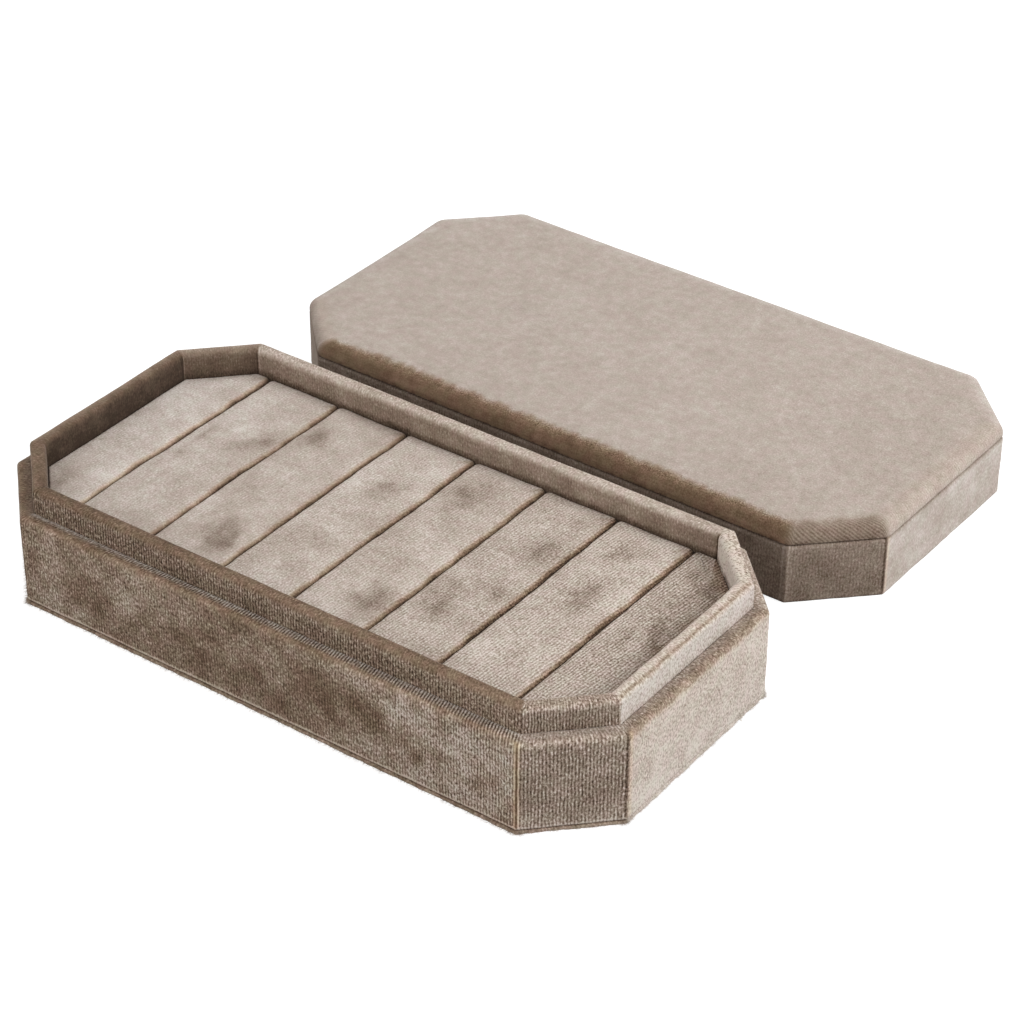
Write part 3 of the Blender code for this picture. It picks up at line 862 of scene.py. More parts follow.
# %% [markdown]
# ## The collar
#
# The raised rim is a second strip, over thinner boards that stand inside the shell. It is what the
# lid slides over. Its upper edge is rounder than the wall's, because the cloth there is folded over
# a board not much thicker than itself. The strip's ends are lapped at the back right corners, where
# the upper layer stands proud, and its raw edge leaves a crease along the top of the right side.

# %% The collar
COLLAR_EDGE_CUT = 1.4 * MM
LAP = 0.3 * MM
LAP_LENGTH = 9 * MM
END_LENGTH = 6 * MM
CREASE_DEPTH = 0.2 * MM


def paint_collar(columns, distance, folds, along):
    """The collar: outer face, rounded top and inner face."""
    _, outer, inner, _ = folds
    top = (outer + inner) / 2
    place = cloth_places(columns, distance)
    loose = smooth_step(distance, outer - 5 * MM, outer - 3 * MM)[:, None]
    ragged = distance[:, None] + loose * uneven(place, (0.3, 5, 34), (0.3, 1.6, 35))
    # Painted sheen by side, painted shade at the collar's foot and down its inner face towards the
    # rolls, painted highlights along its upper edges, and painted light on the back right inner face,
    # which the collar shades
    nap = paint(columns, ragged, [
        (outer - 6.9 * MM, (0.4, 0.3, 0.5, 0.5, 0.15, 0.1, 0.1, 0.2)),
        (outer - 6.2 * MM, (0.38, 0.4, 0.84, 0.8, 0.5, 0.35, 0.35, 0.38)),
        (outer - 3.0 * MM, (0.38, 0.45, 0.89, 0.9, 0.55, 0.4, 0.4, 0.44)),
        (outer - 1.3 * MM, (0.47, 0.46, 0.91, 0.9, 0.55, 0.4, 0.4, 0.44)),
        (outer - 0.5 * MM, (0.46, 0.7, 0.92, 0.88, 0.6, 0.45, 0.42, 0.44)),
        (outer + 0.3 * MM, (0.4, 0.57, 0.84, 0.82, 0.72, 0.62, 0.54, 0.38)),
        (top, (0.34, 0.55, 0.84, 0.86, 0.73, 0.52, 0.36, 0.29)),
        (inner - 0.6 * MM, (0.27, 0.6, 0.85, 0.96, 0.76, 0.43, 0.27, 0.26)),
        (inner - 0.1 * MM, (0.33, 0.66, 0.88, 1.0, 0.8, 0.37, 0.2, 0.26)),
        (inner + 0.5 * MM, (0.38, 0.56, 0.84, 1.02, 0.74, 0.32, 0.13, 0.24)),
        (inner + 1.4 * MM, (0.4, 0.4, 0.7, 1.02, 0.56, 0.27, 0.09, 0.2)),
        (inner + 5.0 * MM, (0.3, 0.3, 0.5, 1.1, 0.5, 0.2, 0.02, 0.16)),
        (inner + 6.4 * MM, (0.1, 0.1, 0.2, 0.6, 0.2, 0.08, 0.0, 0.1)),
    ])
    ribs = paint(columns, distance, [
        (outer - 1.0 * MM, (1.7, 1.8, 0.1, 0.2, 0.6, 0.4, 0.2, 0.6)),
        (outer + 0.1 * MM, (0.2, 0.8, 0.1, 0.2, 0.4, 0.2, 0.1, 0.2)),
        (inner, (0.2, 0.6, 0.1, 0.2, 0.3, 0.2, 0.1, 0.2)),
    ])
    warm = paint(columns, ragged, [
        (outer - 1.2 * MM, (0.5, 0.2, 0.0, 0.1, 0.1, 0.1, 0.3, 0.3)),
        (outer - 0.2 * MM, (0.75, 0.3, 0.15, 0.3, 0.2, 0.4, 0.6, 0.8)),
        (inner - 0.4 * MM, (0.75, 0.3, 0.3, 0.3, 0.2, 0.4, 0.5, 0.6)),
        (inner + 0.6 * MM, (0.2, 0.2, 0.1, 0.2, 0.3, 0.2, 0.2, 0.3)),
    ])
    grain = paint(columns, distance, [
        (outer - 1.0 * MM, (1.15, 0.9, 0.8, 1.5, 0.9, 0.4, 0.4, 0.7)),
        (outer - 0.2 * MM, (0.55, 1.4, 0.8, 1.5, 0.8, 0.3, 0.3, 0.4)),
        (inner, (0.55, 0.7, 0.8, 1.5, 0.5, 0.3, 0.25, 0.4)),
        (inner + 1 * MM, (0.5, 1.0, 0.8, 1.6, 0.45, 0.3, 0.2, 0.4)),
    ])
    front = on_side(columns, 0)
    # The collar's front is painted lighter towards its right end, as painted sheen
    nap += front * 0.06 * (columns.root[:, 0] / HALF_X - 0.3)
    inside = smooth_step(distance, inner - 0.5 * MM, inner + 0.5 * MM)[:, None]
    nap += inside * on_side(columns, 4) * 0.1 * noise(place, 4 * MM, 37)
    # Painted shade lines in the inner upright corners at the back, two of them beside painted
    # highlights, browner in the back right corner
    nap += inside * edge_lines(along, columns, 4, (-0.4, 0.5, 0.5))
    nap += inside * edge_lines(along, columns, 5, (0.14, -0.8, 0.6), (-0.25, 0.1, 0.3))
    nap += inside * edge_lines(along, columns, 6, (0.26, 0, 0.3), (-0.1, 0.9, 0.4))
    warm += inside * edge_lines(along, columns, 4, (0.9, -0.2, 0.5))
    crease = line(distance[:, None] + uneven(place, (0.25, 5, 36)), outer + 0.5 * MM, 0.5 * MM)
    crease = crease * on_side(columns, 2)
    # The crease is sunk a little and painted darker and browner, as painted shade
    nap -= 0.26 * crease
    warm += 0.25 * crease
    before_lap, before_end = (-from_corner(along, columns, corner) for corner in (4, 3))
    lap = plateau(before_lap, 0.1 * MM, 0.5 * MM, LAP_LENGTH - 1 * MM, LAP_LENGTH)
    end = plateau(before_end, 0.2 * MM, 0.8 * MM, END_LENGTH - 3 * MM, END_LENGTH)
    relief = LAP * (lap + end * line(distance[:, None], top, 2.2 * MM)) - CREASE_DEPTH * crease
    return Paint(nap, ribs, np.clip(warm, 0, 1), grain, relief)


ROLL_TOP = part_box("ring_roll_cover_4")[1].z
collar_route = [(COLLAR_START, SHOULDER_Z - TUCK), (COLLAR_START, SHOULDER_Z - CLOTH),
                (COLLAR_START, COLLAR_TOP), (COLLAR_END, COLLAR_TOP),
                (COLLAR_END, ROLL_TOP - 2 * CLOTH), (COLLAR_END, COLLAR_LOW)]
collar_cuts = (CLOTH, COLLAR_EDGE_CUT, COLLAR_EDGE_CUT, CLOTH)
collar_wrap = wrapped("collar_wrap", wall_columns, collar_route, collar_cuts,
                      (HIDDEN_SPACING, GRID, GRID / 1.5, GRID, 2 * HIDDEN_SPACING),
                      (UPRIGHT_ROUND, UPRIGHT_ROUND / 3), paint_collar)
settle(collar_wrap, base_velvet, "base", "wall_velvet", "collar_velvet")

# %% [markdown]
# ## The bottom cover
#
# A thin card closes the base below the wall. Its own short-pile cloth is drawn up round its edge,
# which leaves the fine line and the narrow, slightly woolly strip at the foot of the box. Like the
# pads below, it is a closed form: rings of points shrink onto a short spine in the middle.

# %% Rings onto a spine
SPINE_STEP = 2.5 * GRID


def rings_inward(edge, count):
    """Rings from an edge towards a spine along the longer axis: edge * (1 - w) + spine * w.

    A point's place on the spine is its own place along that axis, kept within what is left of it
    when half the shorter side is taken off each end, and moved to the nearest of a few even steps,
    so that both sides of the spine share its points.
    """
    plan = edge[:, :2]
    low, high = plan.min(axis=0), plan.max(axis=0)
    centre, half = (low + high) / 2, (high - low) / 2
    longer = int(half[1] > half[0])
    reach = half[longer] - half[1 - longer]
    steps = np.round(np.clip(plan[:, longer] - centre[longer], -reach, reach) / SPINE_STEP)
    spine = np.array(edge)
    spine[:, :2] = centre
    spine[:, longer] += steps * SPINE_STEP
    share = np.linspace(0, 1, count + 1)[1:, None, None]
    return edge * (1 - share) + spine * share


def capped(side, below, above):
    """A closed grid: rings from a spine out to the first row, the rows, and rings onto a spine."""
    return np.concatenate([rings_inward(side[0], below)[::-1], side, rings_inward(side[-1], above)])


def on_cloth(points, turn=0.0):
    """Each point's place on a cloth whose ribs run at this angle from X: across and along them."""
    cosine, sine = math.cos(turn), math.sin(turn)
    x, y = points[..., 0], points[..., 1]
    return np.stack([x * sine - y * cosine, x * cosine + y * sine], -1)


print("the spine's steps are", round(SPINE_STEP / MM, 2), "mm")

# %% The bottom cover
BOTTOM_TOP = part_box("bottom_cover")[1].z - SEAM_DROP
BOTTOM_SPACING = 8 * MM
# The round of the cover's edge, as insets and heights in millimetres
BOTTOM_EDGE = ((0.3, 0.0), (0.0, 0.02), (-0.18, 0.12), (-0.25, 0.3), (-0.25, 0.55), (-0.12, 0.8))
bottom_inset = HALF_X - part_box("bottom_cover")[1].x

rows = np.concatenate([np.array(BOTTOM_EDGE) * MM, [(0.2 * MM, BOTTOM_TOP)]])
side = swept(wall_columns, bottom_inset + rows[:, 0], rows[:, 1], np.full(len(rows), UPRIGHT_ROUND))
fuzz = uneven(side, (0.18, 1.1, 3), (0.12, 4, 4))
fuzz *= np.sin(np.linspace(0, math.pi, len(rows)))[:, None]
side[..., :2] += fuzz[..., None] * wall_columns.facing
ring_count = round((HALF_Y - 2 * MM) / BOTTOM_SPACING)
points = capped(side, ring_count, ring_count)
nap = np.full(points.shape[:2], 0.6)
# Painted sheen by side, as on the walls, and darker at the top of the strip where it meets the wall
nap[ring_count:ring_count + len(rows)] = paint(wall_columns, rows[:, 1], [
    (0, (0.62, 0.62, 0.95, 0.9, 0.7, 0.6, 0.62, 0.62)),
    (BOTTOM_TOP * 0.5, (0.62, 0.62, 0.95, 0.8, 0.6, 0.5, 0.6, 0.62)),
    (BOTTOM_TOP * 0.85, (0.58, 0.6, 0.95, 0.8, 0.6, 0.5, 0.56, 0.58)),
    (BOTTOM_TOP, (0.3, 0.3, 0.9, 0.5, 0.3, 0.2, 0.3, 0.3)),
])
warm = np.broadcast_to(by_side(wall_columns, (0.6, 0.4, 0.1, 0.1, 0.3, 0.3, 0.5, 0.6)), nap.shape)
bottom_piece = grid_piece("bottom_cloth", points, on_cloth(points),
                          {"nap": nap, "warm": warm, "grain": 0.7}, closed=False)
settle(bottom_piece, base_velvet, "base", "bottom_cloth", "bottom_cover")

# %% Loose fibres along the foot
FIBRE_COUNT = 9000
FIBRE_LENGTH = 1.3 * MM
FIBRE_WIDTH = 0.035 * MM
FIBRE_SUNK = 0.2 * MM
FIBRE_SHORTEST = 0.2
FIBRE_LEAN = 0.5
FIBRE_DROOP, FIBRE_RISE = -0.7, 0.3
FIBRE_LOWEST = 0.2 * MM
FIBRE_PALER = 0.06
FIBRE_SEED = 6


def fibres(name, ring, facing, heights, values, count, seed):
    """Thin three-sided spikes that stand out from a ring of points, as pile frayed at a cut does.

    A root lies on the ring at a height of its own, sunk a little into the cloth. The tip lies at
    root + length * (facing + lean * along + rise * up), with length, lean and rise drawn at random.
    Values hold one number for each point of the ring, which the fibres there take on.
    """
    random = np.random.default_rng(seed)
    turn = random.uniform(0, len(ring), count)
    low, share = turn.astype(int), (turn % 1)[:, None]
    after = (low + 1) % len(ring)
    outward = np.column_stack([facing[low] * (1 - share) + facing[after] * share, np.zeros(count)])
    along = np.column_stack([-outward[:, 1], outward[:, 0], np.zeros(count)])
    up = np.array([0.0, 0.0, 1.0])
    root = ring[low] * (1 - share) + ring[after] * share - FIBRE_SUNK * outward
    root[:, 2] = random.uniform(*heights, count)
    length = FIBRE_SUNK + FIBRE_LENGTH * random.uniform(FIBRE_SHORTEST, 1, (count, 1)) ** 2
    lean = random.normal(0, FIBRE_LEAN, (count, 1))
    rise = random.uniform(FIBRE_DROOP, FIBRE_RISE, (count, 1))
    tip = root + length * (outward + lean * along + rise * up)
    tip[:, 2] = np.maximum(tip[:, 2], TINY)
    angles = 2 * math.pi / 3 * np.arange(3)[:, None, None]
    base = root + FIBRE_WIDTH * (np.cos(angles) * along + np.sin(angles) * up)
    points = np.concatenate([base, tip[None]]).transpose(1, 0, 2).reshape(-1, 3)
    spike = np.array([(0, 1, 3), (1, 2, 3), (2, 0, 3), (0, 2, 1)])
    corner = spike + 4 * np.arange(count)[:, None, None]
    mesh = bpy.data.meshes.new(name)
    mesh.from_pydata(points.tolist(), [], corner.reshape(-1, 3).tolist())
    mesh.uv_layers.new(name="pile")
    return dressed(name, mesh, {key: np.repeat(value[low], 4) for key, value in values.items()})


widest = np.argmin(rows[:, 0])
foot_fibres = fibres("foot_fibres", side[widest], wall_columns.facing, (FIBRE_LOWEST, BOTTOM_TOP),
                     {"nap": nap[ring_count + widest] + FIBRE_PALER, "warm": warm[0]},
                     FIBRE_COUNT, FIBRE_SEED)
settle(foot_fibres, base_velvet, "base", "bottom_cloth")

# %% [markdown]
# ## Padded forms
#
# A ring roll is a bar of foam in a tight velvet cover, and the lid's top is a foam sheet drawn over
# a card. Both are made in two steps. First the plain form: a profile that goes round the outline,
# fullest above its foot and round at the top edge, closed by rings above and below. Then the cloth
# is blown up a little from inside on a coarse copy of the grid, and the swelling that this gives,
# held to a fraction of a millimetre as foam and neighbours would, is spread onto the fine grid.

# %% A plain padded form
FOOT_ROWS = 5
UNDER_RINGS = 3
Pad = collections.namedtuple("Pad", "points columns beyond flat foot")


def pad_form(corners, bottom, height, edge_rounds, corner_rounds, draw_in, spacing):
    """A closed pad with a flat top, whose sides and corners each have a round of their own.

    Up the side the inset is draw_in * (1 - 2 s)^2, then a quarter circle goes over the edge. Beyond
    is how far each point lies past the border of the flat top, along the cloth, and flat is where
    it would lie if the cloth were spread out. Foot is the number of rows up to the foot.
    """
    columns = columns_round(corners, spacing)
    edge_round = by_side(columns, edge_rounds)
    share = np.linspace(0, 1, FOOT_ROWS, endpoint=False)[:, None]
    arc_steps = max(6, round(max(edge_rounds) * math.pi / 2 / spacing))
    arc = np.linspace(0, math.pi / 2, arc_steps + 1)[:, None]
    straight = height - edge_round
    inset = np.concatenate([draw_in * (1 - np.minimum(2 * share, 1)) ** 2 + 0 * straight,
                            edge_round * (1 - np.cos(arc))])
    rise = np.concatenate([share * straight, straight + edge_round * np.sin(arc)])
    corner_round = np.broadcast_to(by_corner(columns, corner_rounds), inset.shape)
    side = swept(columns, inset, bottom + rise, corner_round)
    half = np.ptp(side[-1], axis=0)[:2].min() / 2
    points = capped(side, UNDER_RINGS, round(half / spacing))
    border, top = side[-1], UNDER_RINGS + len(side)
    round_length = edge_round * math.pi / 2
    down = np.concatenate([round_length + straight * (1 - share), edge_round * (math.pi / 2 - arc)])
    beyond = np.concatenate([np.repeat(down[:1], UNDER_RINGS, axis=0), down,
                             -np.linalg.norm(points[top:] - border, axis=-1)])
    flat = np.array(points)
    flat[:top, :, :2] = border[:, :2] + beyond[:top, :, None] * columns.facing
    return Pad(points, columns, beyond, flat, UNDER_RINGS + 1)


print("a pad's side has", FOOT_ROWS, "rows below its round")

# %% Swelling by a cloth simulation
SWELL_FRAMES = 16
SWELL_PRESSURE = 4.0
COARSE = 4


def between(fine, coarse_at):
    """A matrix that blends values at coarse places into every fine place, linearly."""
    weights = np.zeros((fine, len(coarse_at)))
    place = np.interp(np.arange(fine), coarse_at, np.arange(len(coarse_at)))
    low = np.minimum(place.astype(int), len(coarse_at) - 2)
    weights[np.arange(fine), low] = 1 - (place - low)
    weights[np.arange(fine), low + 1] += place - low
    return weights


def swelling(pad, limit):
    """How far each point of a pad moves when it is blown up, and its foot is held.

    The cloth is stepped on every few rows and columns of the grid. A move d is held to
    d * limit / (limit + |d|), and blended back onto the fine grid.
    """
    rows, cols = pad.points.shape[:2]
    at_rows = np.unique(np.append(np.arange(0, rows, COARSE), rows - 1))
    at_cols = np.arange(0, cols, COARSE)
    coarse = pad.points[np.ix_(at_rows, at_cols)]
    for spine in (coarse[0], coarse[-1]):
        middle = (spine.min(axis=0) + spine.max(axis=0)) / 2
        spine[:] = middle + np.round((spine - middle) / (COARSE * SPINE_STEP)) * COARSE * SPINE_STEP
    body = grid_piece("swelling_cloth", coarse, on_cloth(coarse), {}, closed=False)
    rest = np.array([vertex.co for vertex in body.data.vertices])
    index = np.argmin(((coarse.reshape(-1, 1, 3) - rest[None]) ** 2).sum(-1), axis=1)
    low = coarse[at_rows <= pad.foot + 1][..., 2].max() + TINY
    held = body.vertex_groups.new(name="held")
    held.add(np.flatnonzero(rest[:, 2] <= low).tolist(), 1.0, "REPLACE")
    cloth = body.modifiers.new("swell", "CLOTH")
    cloth.settings.use_pressure = True
    cloth.settings.uniform_pressure_force = SWELL_PRESSURE
    cloth.settings.vertex_group_mass = "held"
    cloth.settings.effector_weights.gravity = 0
    cloth.point_cache.frame_end = SWELL_FRAMES
    for number in range(1, SWELL_FRAMES + 1):
        bpy.context.scene.frame_set(number)
    blown = body.evaluated_get(bpy.context.evaluated_depsgraph_get())
    moved = np.array([vertex.co for vertex in blown.data.vertices]) - rest
    bpy.data.objects.remove(body)
    bpy.context.scene.frame_set(1)
    size = np.linalg.norm(moved, axis=1)
    print("blown up by at most", round(size.max() / MM, 2), "mm before it is held back")
    moved *= (limit / (limit + size))[:, None]
    grid = moved[index].reshape(coarse.shape)
    grid = np.concatenate([grid, grid[:, :1]], axis=1)
    over_rows, over_cols = between(rows, at_rows), between(cols, np.append(at_cols, cols))
    return np.einsum("rk,klx,cl->rcx", over_rows, grid, over_cols)


print("a cloth is blown up over", SWELL_FRAMES, "frames")

# %% Filling a pad
def filled(pad, crown, limit, shares):
    """A pad's points once it is stuffed: moved by the swelling, of which each axis takes a share.

    The crown is not used.
    """
    points = np.array(pad.points)
    return points + swelling(pad, limit) * shares
    low, high = points.min(axis=(0, 1)), points.max(axis=(0, 1))
    place = (2 * points - low - high)[..., :2] / (high - low)[:2]
    rise = np.prod(1 - np.clip(abs(place), 0, 1) ** 4, axis=-1)
    points[..., 2] += crown * rise * (points[..., 2] > low[2] + TINY)
    return points


print("the pads are filled by", "the simulation")

# %% [markdown]
# ## Ring rolls
#
# Eight rolls stand side by side in the collar. The six middle ones are alike, and the end ones have
# their outer corners cut to follow the collar. Rings are pushed between them. They are stuffed by
# hand, so the slots are not quite evenly spaced, and handling has left thumb-sized blots where the
# pile stands the wrong way. The blots are listed one by one.

# %% Sizes of the rolls
ROLL_COUNT = 8
LIP_ROUND = 1.2 * MM
SLOT_ROUND = 0.5 * MM
OUTER_ROUND = 0.5 * MM
SLOT_CORNER, OUTER_CORNER = 1.2 * MM, 0.5 * MM
ROLL_DRAW_IN = 0.3 * MM
ROLL_GRID = 0.5 * MM
ROLL_SWELL = 0.9 * MM
ROLL_HEADROOM = 0.5 * MM
ROLL_SHARES = (0.1, 0.1, 1.0)
SLOT_SHIFTS = [shift * MM for shift in (-1.1, -0.2, 0.2, -0.1, -0.2, -0.7, -0.4)]
SLOT_WANDER = ((0.35, 16, 73), (0.12, 3, 74))
ROLL_NAP = (0.82, 0.76, 0.77, 0.79, 0.76, 0.72, 0.78, 0.7)
ROLL_GRAIN = (0.6, 0.6, 0.6, 0.8, 0.85, 1.1, 1.2, 1.5)
RIB_TURN = math.radians(85)
roll_boxes = [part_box(f"ring_roll_cover_{number}") for number in range(1, ROLL_COUNT + 1)]
tray = octagon(HALF_X - roll_boxes[-1][1].x)
print("widths in mm:", [round((high.x - low.x) / MM, 1) for low, high in roll_boxes])

# %% Outlines of the rolls
def roll_outline(index):
    """Corners of a roll, the round of each side's top edge, and each corner's round.

    It is a rectangle, or for an end roll the tray's end with its two cut corners.
    """
    low, high = roll_boxes[index]
    left = low.x + SLOT_SHIFTS[index - 1] if index > 0 else low.x
    right = high.x + SLOT_SHIFTS[index] if index < ROLL_COUNT - 1 else high.x
    left_side, right_side = [(left, high.y), (left, low.y)], [(right, low.y), (right, high.y)]
    rounds = [SLOT_ROUND, OUTER_ROUND, LIP_ROUND, OUTER_ROUND]
    corner_rounds = 4 * [SLOT_CORNER]
    if index == 0:
        left_side, rounds = tray[[5, 6, 7, 0]].tolist(), 4 * [OUTER_ROUND] + rounds[2:]
        corner_rounds = 4 * [OUTER_CORNER] + 2 * [SLOT_CORNER]
    if index == ROLL_COUNT - 1:
        right_side, rounds = tray[[1, 2, 3, 4]].tolist(), rounds[:2] + 4 * [OUTER_ROUND]
        corner_rounds = 2 * [SLOT_CORNER] + 4 * [OUTER_CORNER]
    return np.array(left_side + right_side, float), rounds, corner_rounds


print("an end roll has", len(roll_outline(0)[0]), "corners, and a middle one", len(roll_outline(1)[0]))

# %% Blots on the rolls
# Each blot's place along X and Y and half widths along and across, in millimetres, its turn in
# degrees, and how much of the nap it takes away
BLOTS = (
    # The first blot, in the tray's front left corner beside the collar, is painted shade
    (-75.0, -26.0, 4.5, 6.5, 20, 0.13),
    (-47.8, 13.8, 2.6, 6.9, -35, 0.2),
    (-61.0, 7.7, 1.7, 2.9, 0, 0.16),
    (-61.0, -1.8, 1.4, 2.3, 0, 0.16),
    (-38.0, 23.0, 3.0, 5.2, 10, 0.2),
    (-29.4, -23.4, 3.8, 5.6, 25, 0.24),
    (-26.7, -26.0, 2.6, 3.0, 0, 0.16),
    (-11.1, 13.8, 3.8, 5.8, -20, 0.21),
    (-13.9, -12.3, 4.8, 9.2, 10, 0.1),
    (7.8, 24.3, 5.4, 7.5, 15, 0.21),
    (15.6, -22.9, 3.6, 5.8, 20, 0.25),
    (34.4, 16.0, 3.8, 6.3, -15, 0.21),
    (35.6, -2.3, 3.1, 4.6, 30, 0.2),
    (28.3, -14.6, 3.4, 5.8, 10, 0.21),
    (51.0, 27.0, 4.2, 5.8, 0, 0.2),
    (52.8, 7.1, 3.6, 5.8, 20, 0.2),
    (75.0, 26.0, 3.6, 8.0, 45, 0.21),
    (75.5, 3.5, 2.6, 9.2, 15, 0.21),
    (69.5, 0.0, 2.2, 3.4, 0, 0.15),
)
print(len(BLOTS), "blots on the rolls")

# %% The rolls
def paint_roll(index, pad, rounds):
    """What a roll shows: a pale top, blots, and a brown lip with painted shade where it turns into the
    slot.

    The further right the roll stands, the sooner its lip darkens. The other sides darken a little
    where they turn down, and a side that faces right and has no lip, as on the last roll, gets painted
    shade and is browner there.
    """
    beyond = pad.beyond + uneven(pad.flat, (0.3, 6, 70), (0.15, 1.5, 71))
    lip = by_side(pad.columns, np.array(rounds) == LIP_ROUND)
    levels = np.array([-0.3, 0.3, 0.7, 1.0, 1.3, 1.6]) * MM
    share = index / (ROLL_COUNT - 1)
    # Painted shade where the round turns down into the slot: for a pale lip, a dark lip and the other
    # sides
    pale = np.interp(beyond, levels, [0.0, -0.05, -0.2, -0.45, -0.66, -0.74])
    dark = np.interp(beyond, levels, [-0.02, -0.2, -0.5, -0.58, -0.66, -0.74])
    side_nap = np.interp(beyond, levels, [0.0, -0.04, -0.3, -0.5, -0.62, -0.72])
    blots = ovals(pad.flat, 0, 1, BLOTS) * (1.1 + 0.5 * noise(pad.flat, 2.2 * MM, 75))
    cloudy = 0.05 * noise(pad.flat, 20 * MM, 22 + index) + 0.04 * noise(pad.flat, 6 * MM, 76)
    nap = ROLL_NAP[index] + cloudy - blots
    nap += lip * (pale + (dark - pale) * share ** 0.6) + (1 - lip) * side_nap
    outer = (1 - lip) * np.clip(pad.columns.facing[:, 0], 0, 1)
    shade = outer * smooth_step(pad.beyond + uneven(pad.flat, (1.4, 3.5, 72)), -5.5 * MM, -0.5 * MM)
    nap -= 0.36 * shade
    warm = lip * np.interp(beyond, levels, [0.0, 0.5, 0.7, 0.6, 0.5, 0.4]) + 0.5 * shade + 0.15 * share
    return {"nap": nap, "warm": warm, "ribs": 0.25 + 1.2 * share ** 2, "grain": ROLL_GRAIN[index]}


for index, (low, high) in enumerate(roll_boxes):
    outline, rounds, corner_rounds = roll_outline(index)
    pad = pad_form(outline, low.z, high.z - low.z - ROLL_HEADROOM, rounds, corner_rounds,
                   ROLL_DRAW_IN, ROLL_GRID)
    points = filled(pad, ROLL_HEADROOM, ROLL_SWELL, ROLL_SHARES)
    on_top = smooth_step(points[..., 2], high.z - 3 * MM, high.z - 1 * MM)
    points[..., 2] += on_top * uneven(points, (0.14, 9, 20 + index), (0.06, 3, 21 + index))
    within = smooth_step(HALF_X - COLLAR_END - abs(points[..., 0]), 2 * MM, 12 * MM)
    points[..., 0] += within * uneven(pad.flat, *SLOT_WANDER)
    roll = grid_piece(f"ring_roll_{index + 1}", points, on_cloth(pad.flat, RIB_TURN),
                      paint_roll(index, pad, rounds), closed=False, plain=pad.points)
    settle(roll, roll_velvet, "base", "cushion_velvet", f"ring_roll_cover_{index + 1}",
           f"ring_roll_foam_{index + 1}")

# %% [markdown]
# ## The lid's wall
#
# The lid's strip is wrapped like the base's. It comes up inside the lid, turns under the rim, goes
# up the outside and is glued down on the top board, where the pad hides its end.

# %% The lid's wall
LID_CLEARANCE = 0.35 * MM
LINING_GAP = 0.2 * MM
LID_INNER = COLLAR_START - LID_CLEARANCE


def paint_lid_wall(columns, distance, folds, along):
    """The lid's wall: inside, rim, outer face and the turn onto the top."""
    inner, rim, top = folds
    # Painted sheen by side, painted shade along the rim and where the wall turns in under the pad, and a
    # painted highlight just below that turn
    nap = paint(columns, distance, [
        (0, (0.5,) * SIDES),
        (inner, (0.4,) * SIDES),
        (rim, (0.05, 0.2, 0.8, 0.6, 0.4, 0.3, 0.4, 0.3)),
        (rim + 0.6 * MM, (0.32, 0.46, 0.86, 0.8, 0.6, 0.5, 0.56, 0.5)),
        (rim + 1.6 * MM, (0.3, 0.4, 0.8, 0.8, 0.6, 0.5, 0.56, 0.5)),
        ((rim + top) / 2, (0.33, 0.41, 0.79, 0.8, 0.6, 0.5, 0.56, 0.5)),
        (top - 1.4 * MM, (0.37, 0.45, 0.85, 0.8, 0.6, 0.5, 0.56, 0.5)),
        (top - 0.7 * MM, (0.41, 0.48, 0.78, 0.8, 0.6, 0.5, 0.56, 0.5)),
        (top - 0.2 * MM, (0.56, 0.58, 0.68, 0.8, 0.5, 0.4, 0.5, 0.4)),
        (top + 0.4 * MM, (0.12, 0.2, 0.4, 0.4, 0.2, 0.2, 0.2, 0.2)),
        (top + 1.0 * MM, (0.0, 0.0, 0.3, 0.3, 0.1, 0.1, 0.1, 0.1)),
    ])
    ribs = paint(columns, distance, [(0, (0.6, 0.7, 0.2, 0.3, 0.5, 0.5, 0.4, 0.6))])
    warm = paint(columns, distance, [(0, (0.0, 0.1, 0.0, 0.1, 0.1, 0.1, 0.2, 0.2))])
    grain = paint(columns, distance, [(0, (1.0, 1.2, 0.8, 1.0, 1.0, 1.0, 0.6, 0.6))])
    wall = smooth_step(distance, rim, rim + 1 * MM)[:, None]
    # Painted highlights on the rounded upright edges at both ends of the front right side, with a
    # painted dark line beside the right one, browner there
    nap += wall * edge_lines(along, columns, 1, (0.12, 0.7, 0.5), (0.14, -0.9, 0.4))
    nap += wall * edge_lines(along, columns, 2, (0.1, 0.6, 0.5), (-0.35, -0.3, 0.3))
    warm += wall * edge_lines(along, columns, 2, (0.5, 0.6, 0.6))
    return Paint(nap, ribs, np.clip(warm, 0, 1), grain)


lid_route = [(LID_INNER, LINING_Z - LINING_GAP), (LID_INNER, 0), (0, 0), (0, LID_TOP), (TUCK, LID_TOP)]
lid_wrap = wrapped("lid_wrap", wall_columns, lid_route, (SEAM_CUT, SEAM_CUT, SEAM_CUT),
                   (HIDDEN_SPACING, GRID, GRID, HIDDEN_SPACING), (UPRIGHT_ROUND, UPRIGHT_ROUND / 2),
                   paint_lid_wall)
lid_place = Matrix.Translation((LID_CENTRE.x, LID_CENTRE.y, 0)) @ Matrix.Rotation(LID_TURN, 4, "Z")
lid_wrap.data.transform(lid_place)
settle(lid_wrap, lid_velvet, "lid", "wall_velvet", "lid_side_velvet")

# %% [markdown]
# ## The lid's pad
#
# The pad is one piece of velvet drawn over foam and card, so its ribs run straight across the whole
# top and meet the cut corners at a slant. At the front edge the pile tips over, and the cloth turns
# from pale to dark brown along a ragged line.

# %% Shape of the lid's pad
PAD_CROWN = 0.4 * MM
PAD_EDGE_ROUND = 2.9 * MM
PAD_CORNER_ROUND = 3.2 * MM
PAD_DRAW_IN = 0.4 * MM
PAD_GRID = 0.55 * MM
PAD_SWELL = 0.7 * MM
PAD_SHARES = (0.3, 0.3, 1.0)

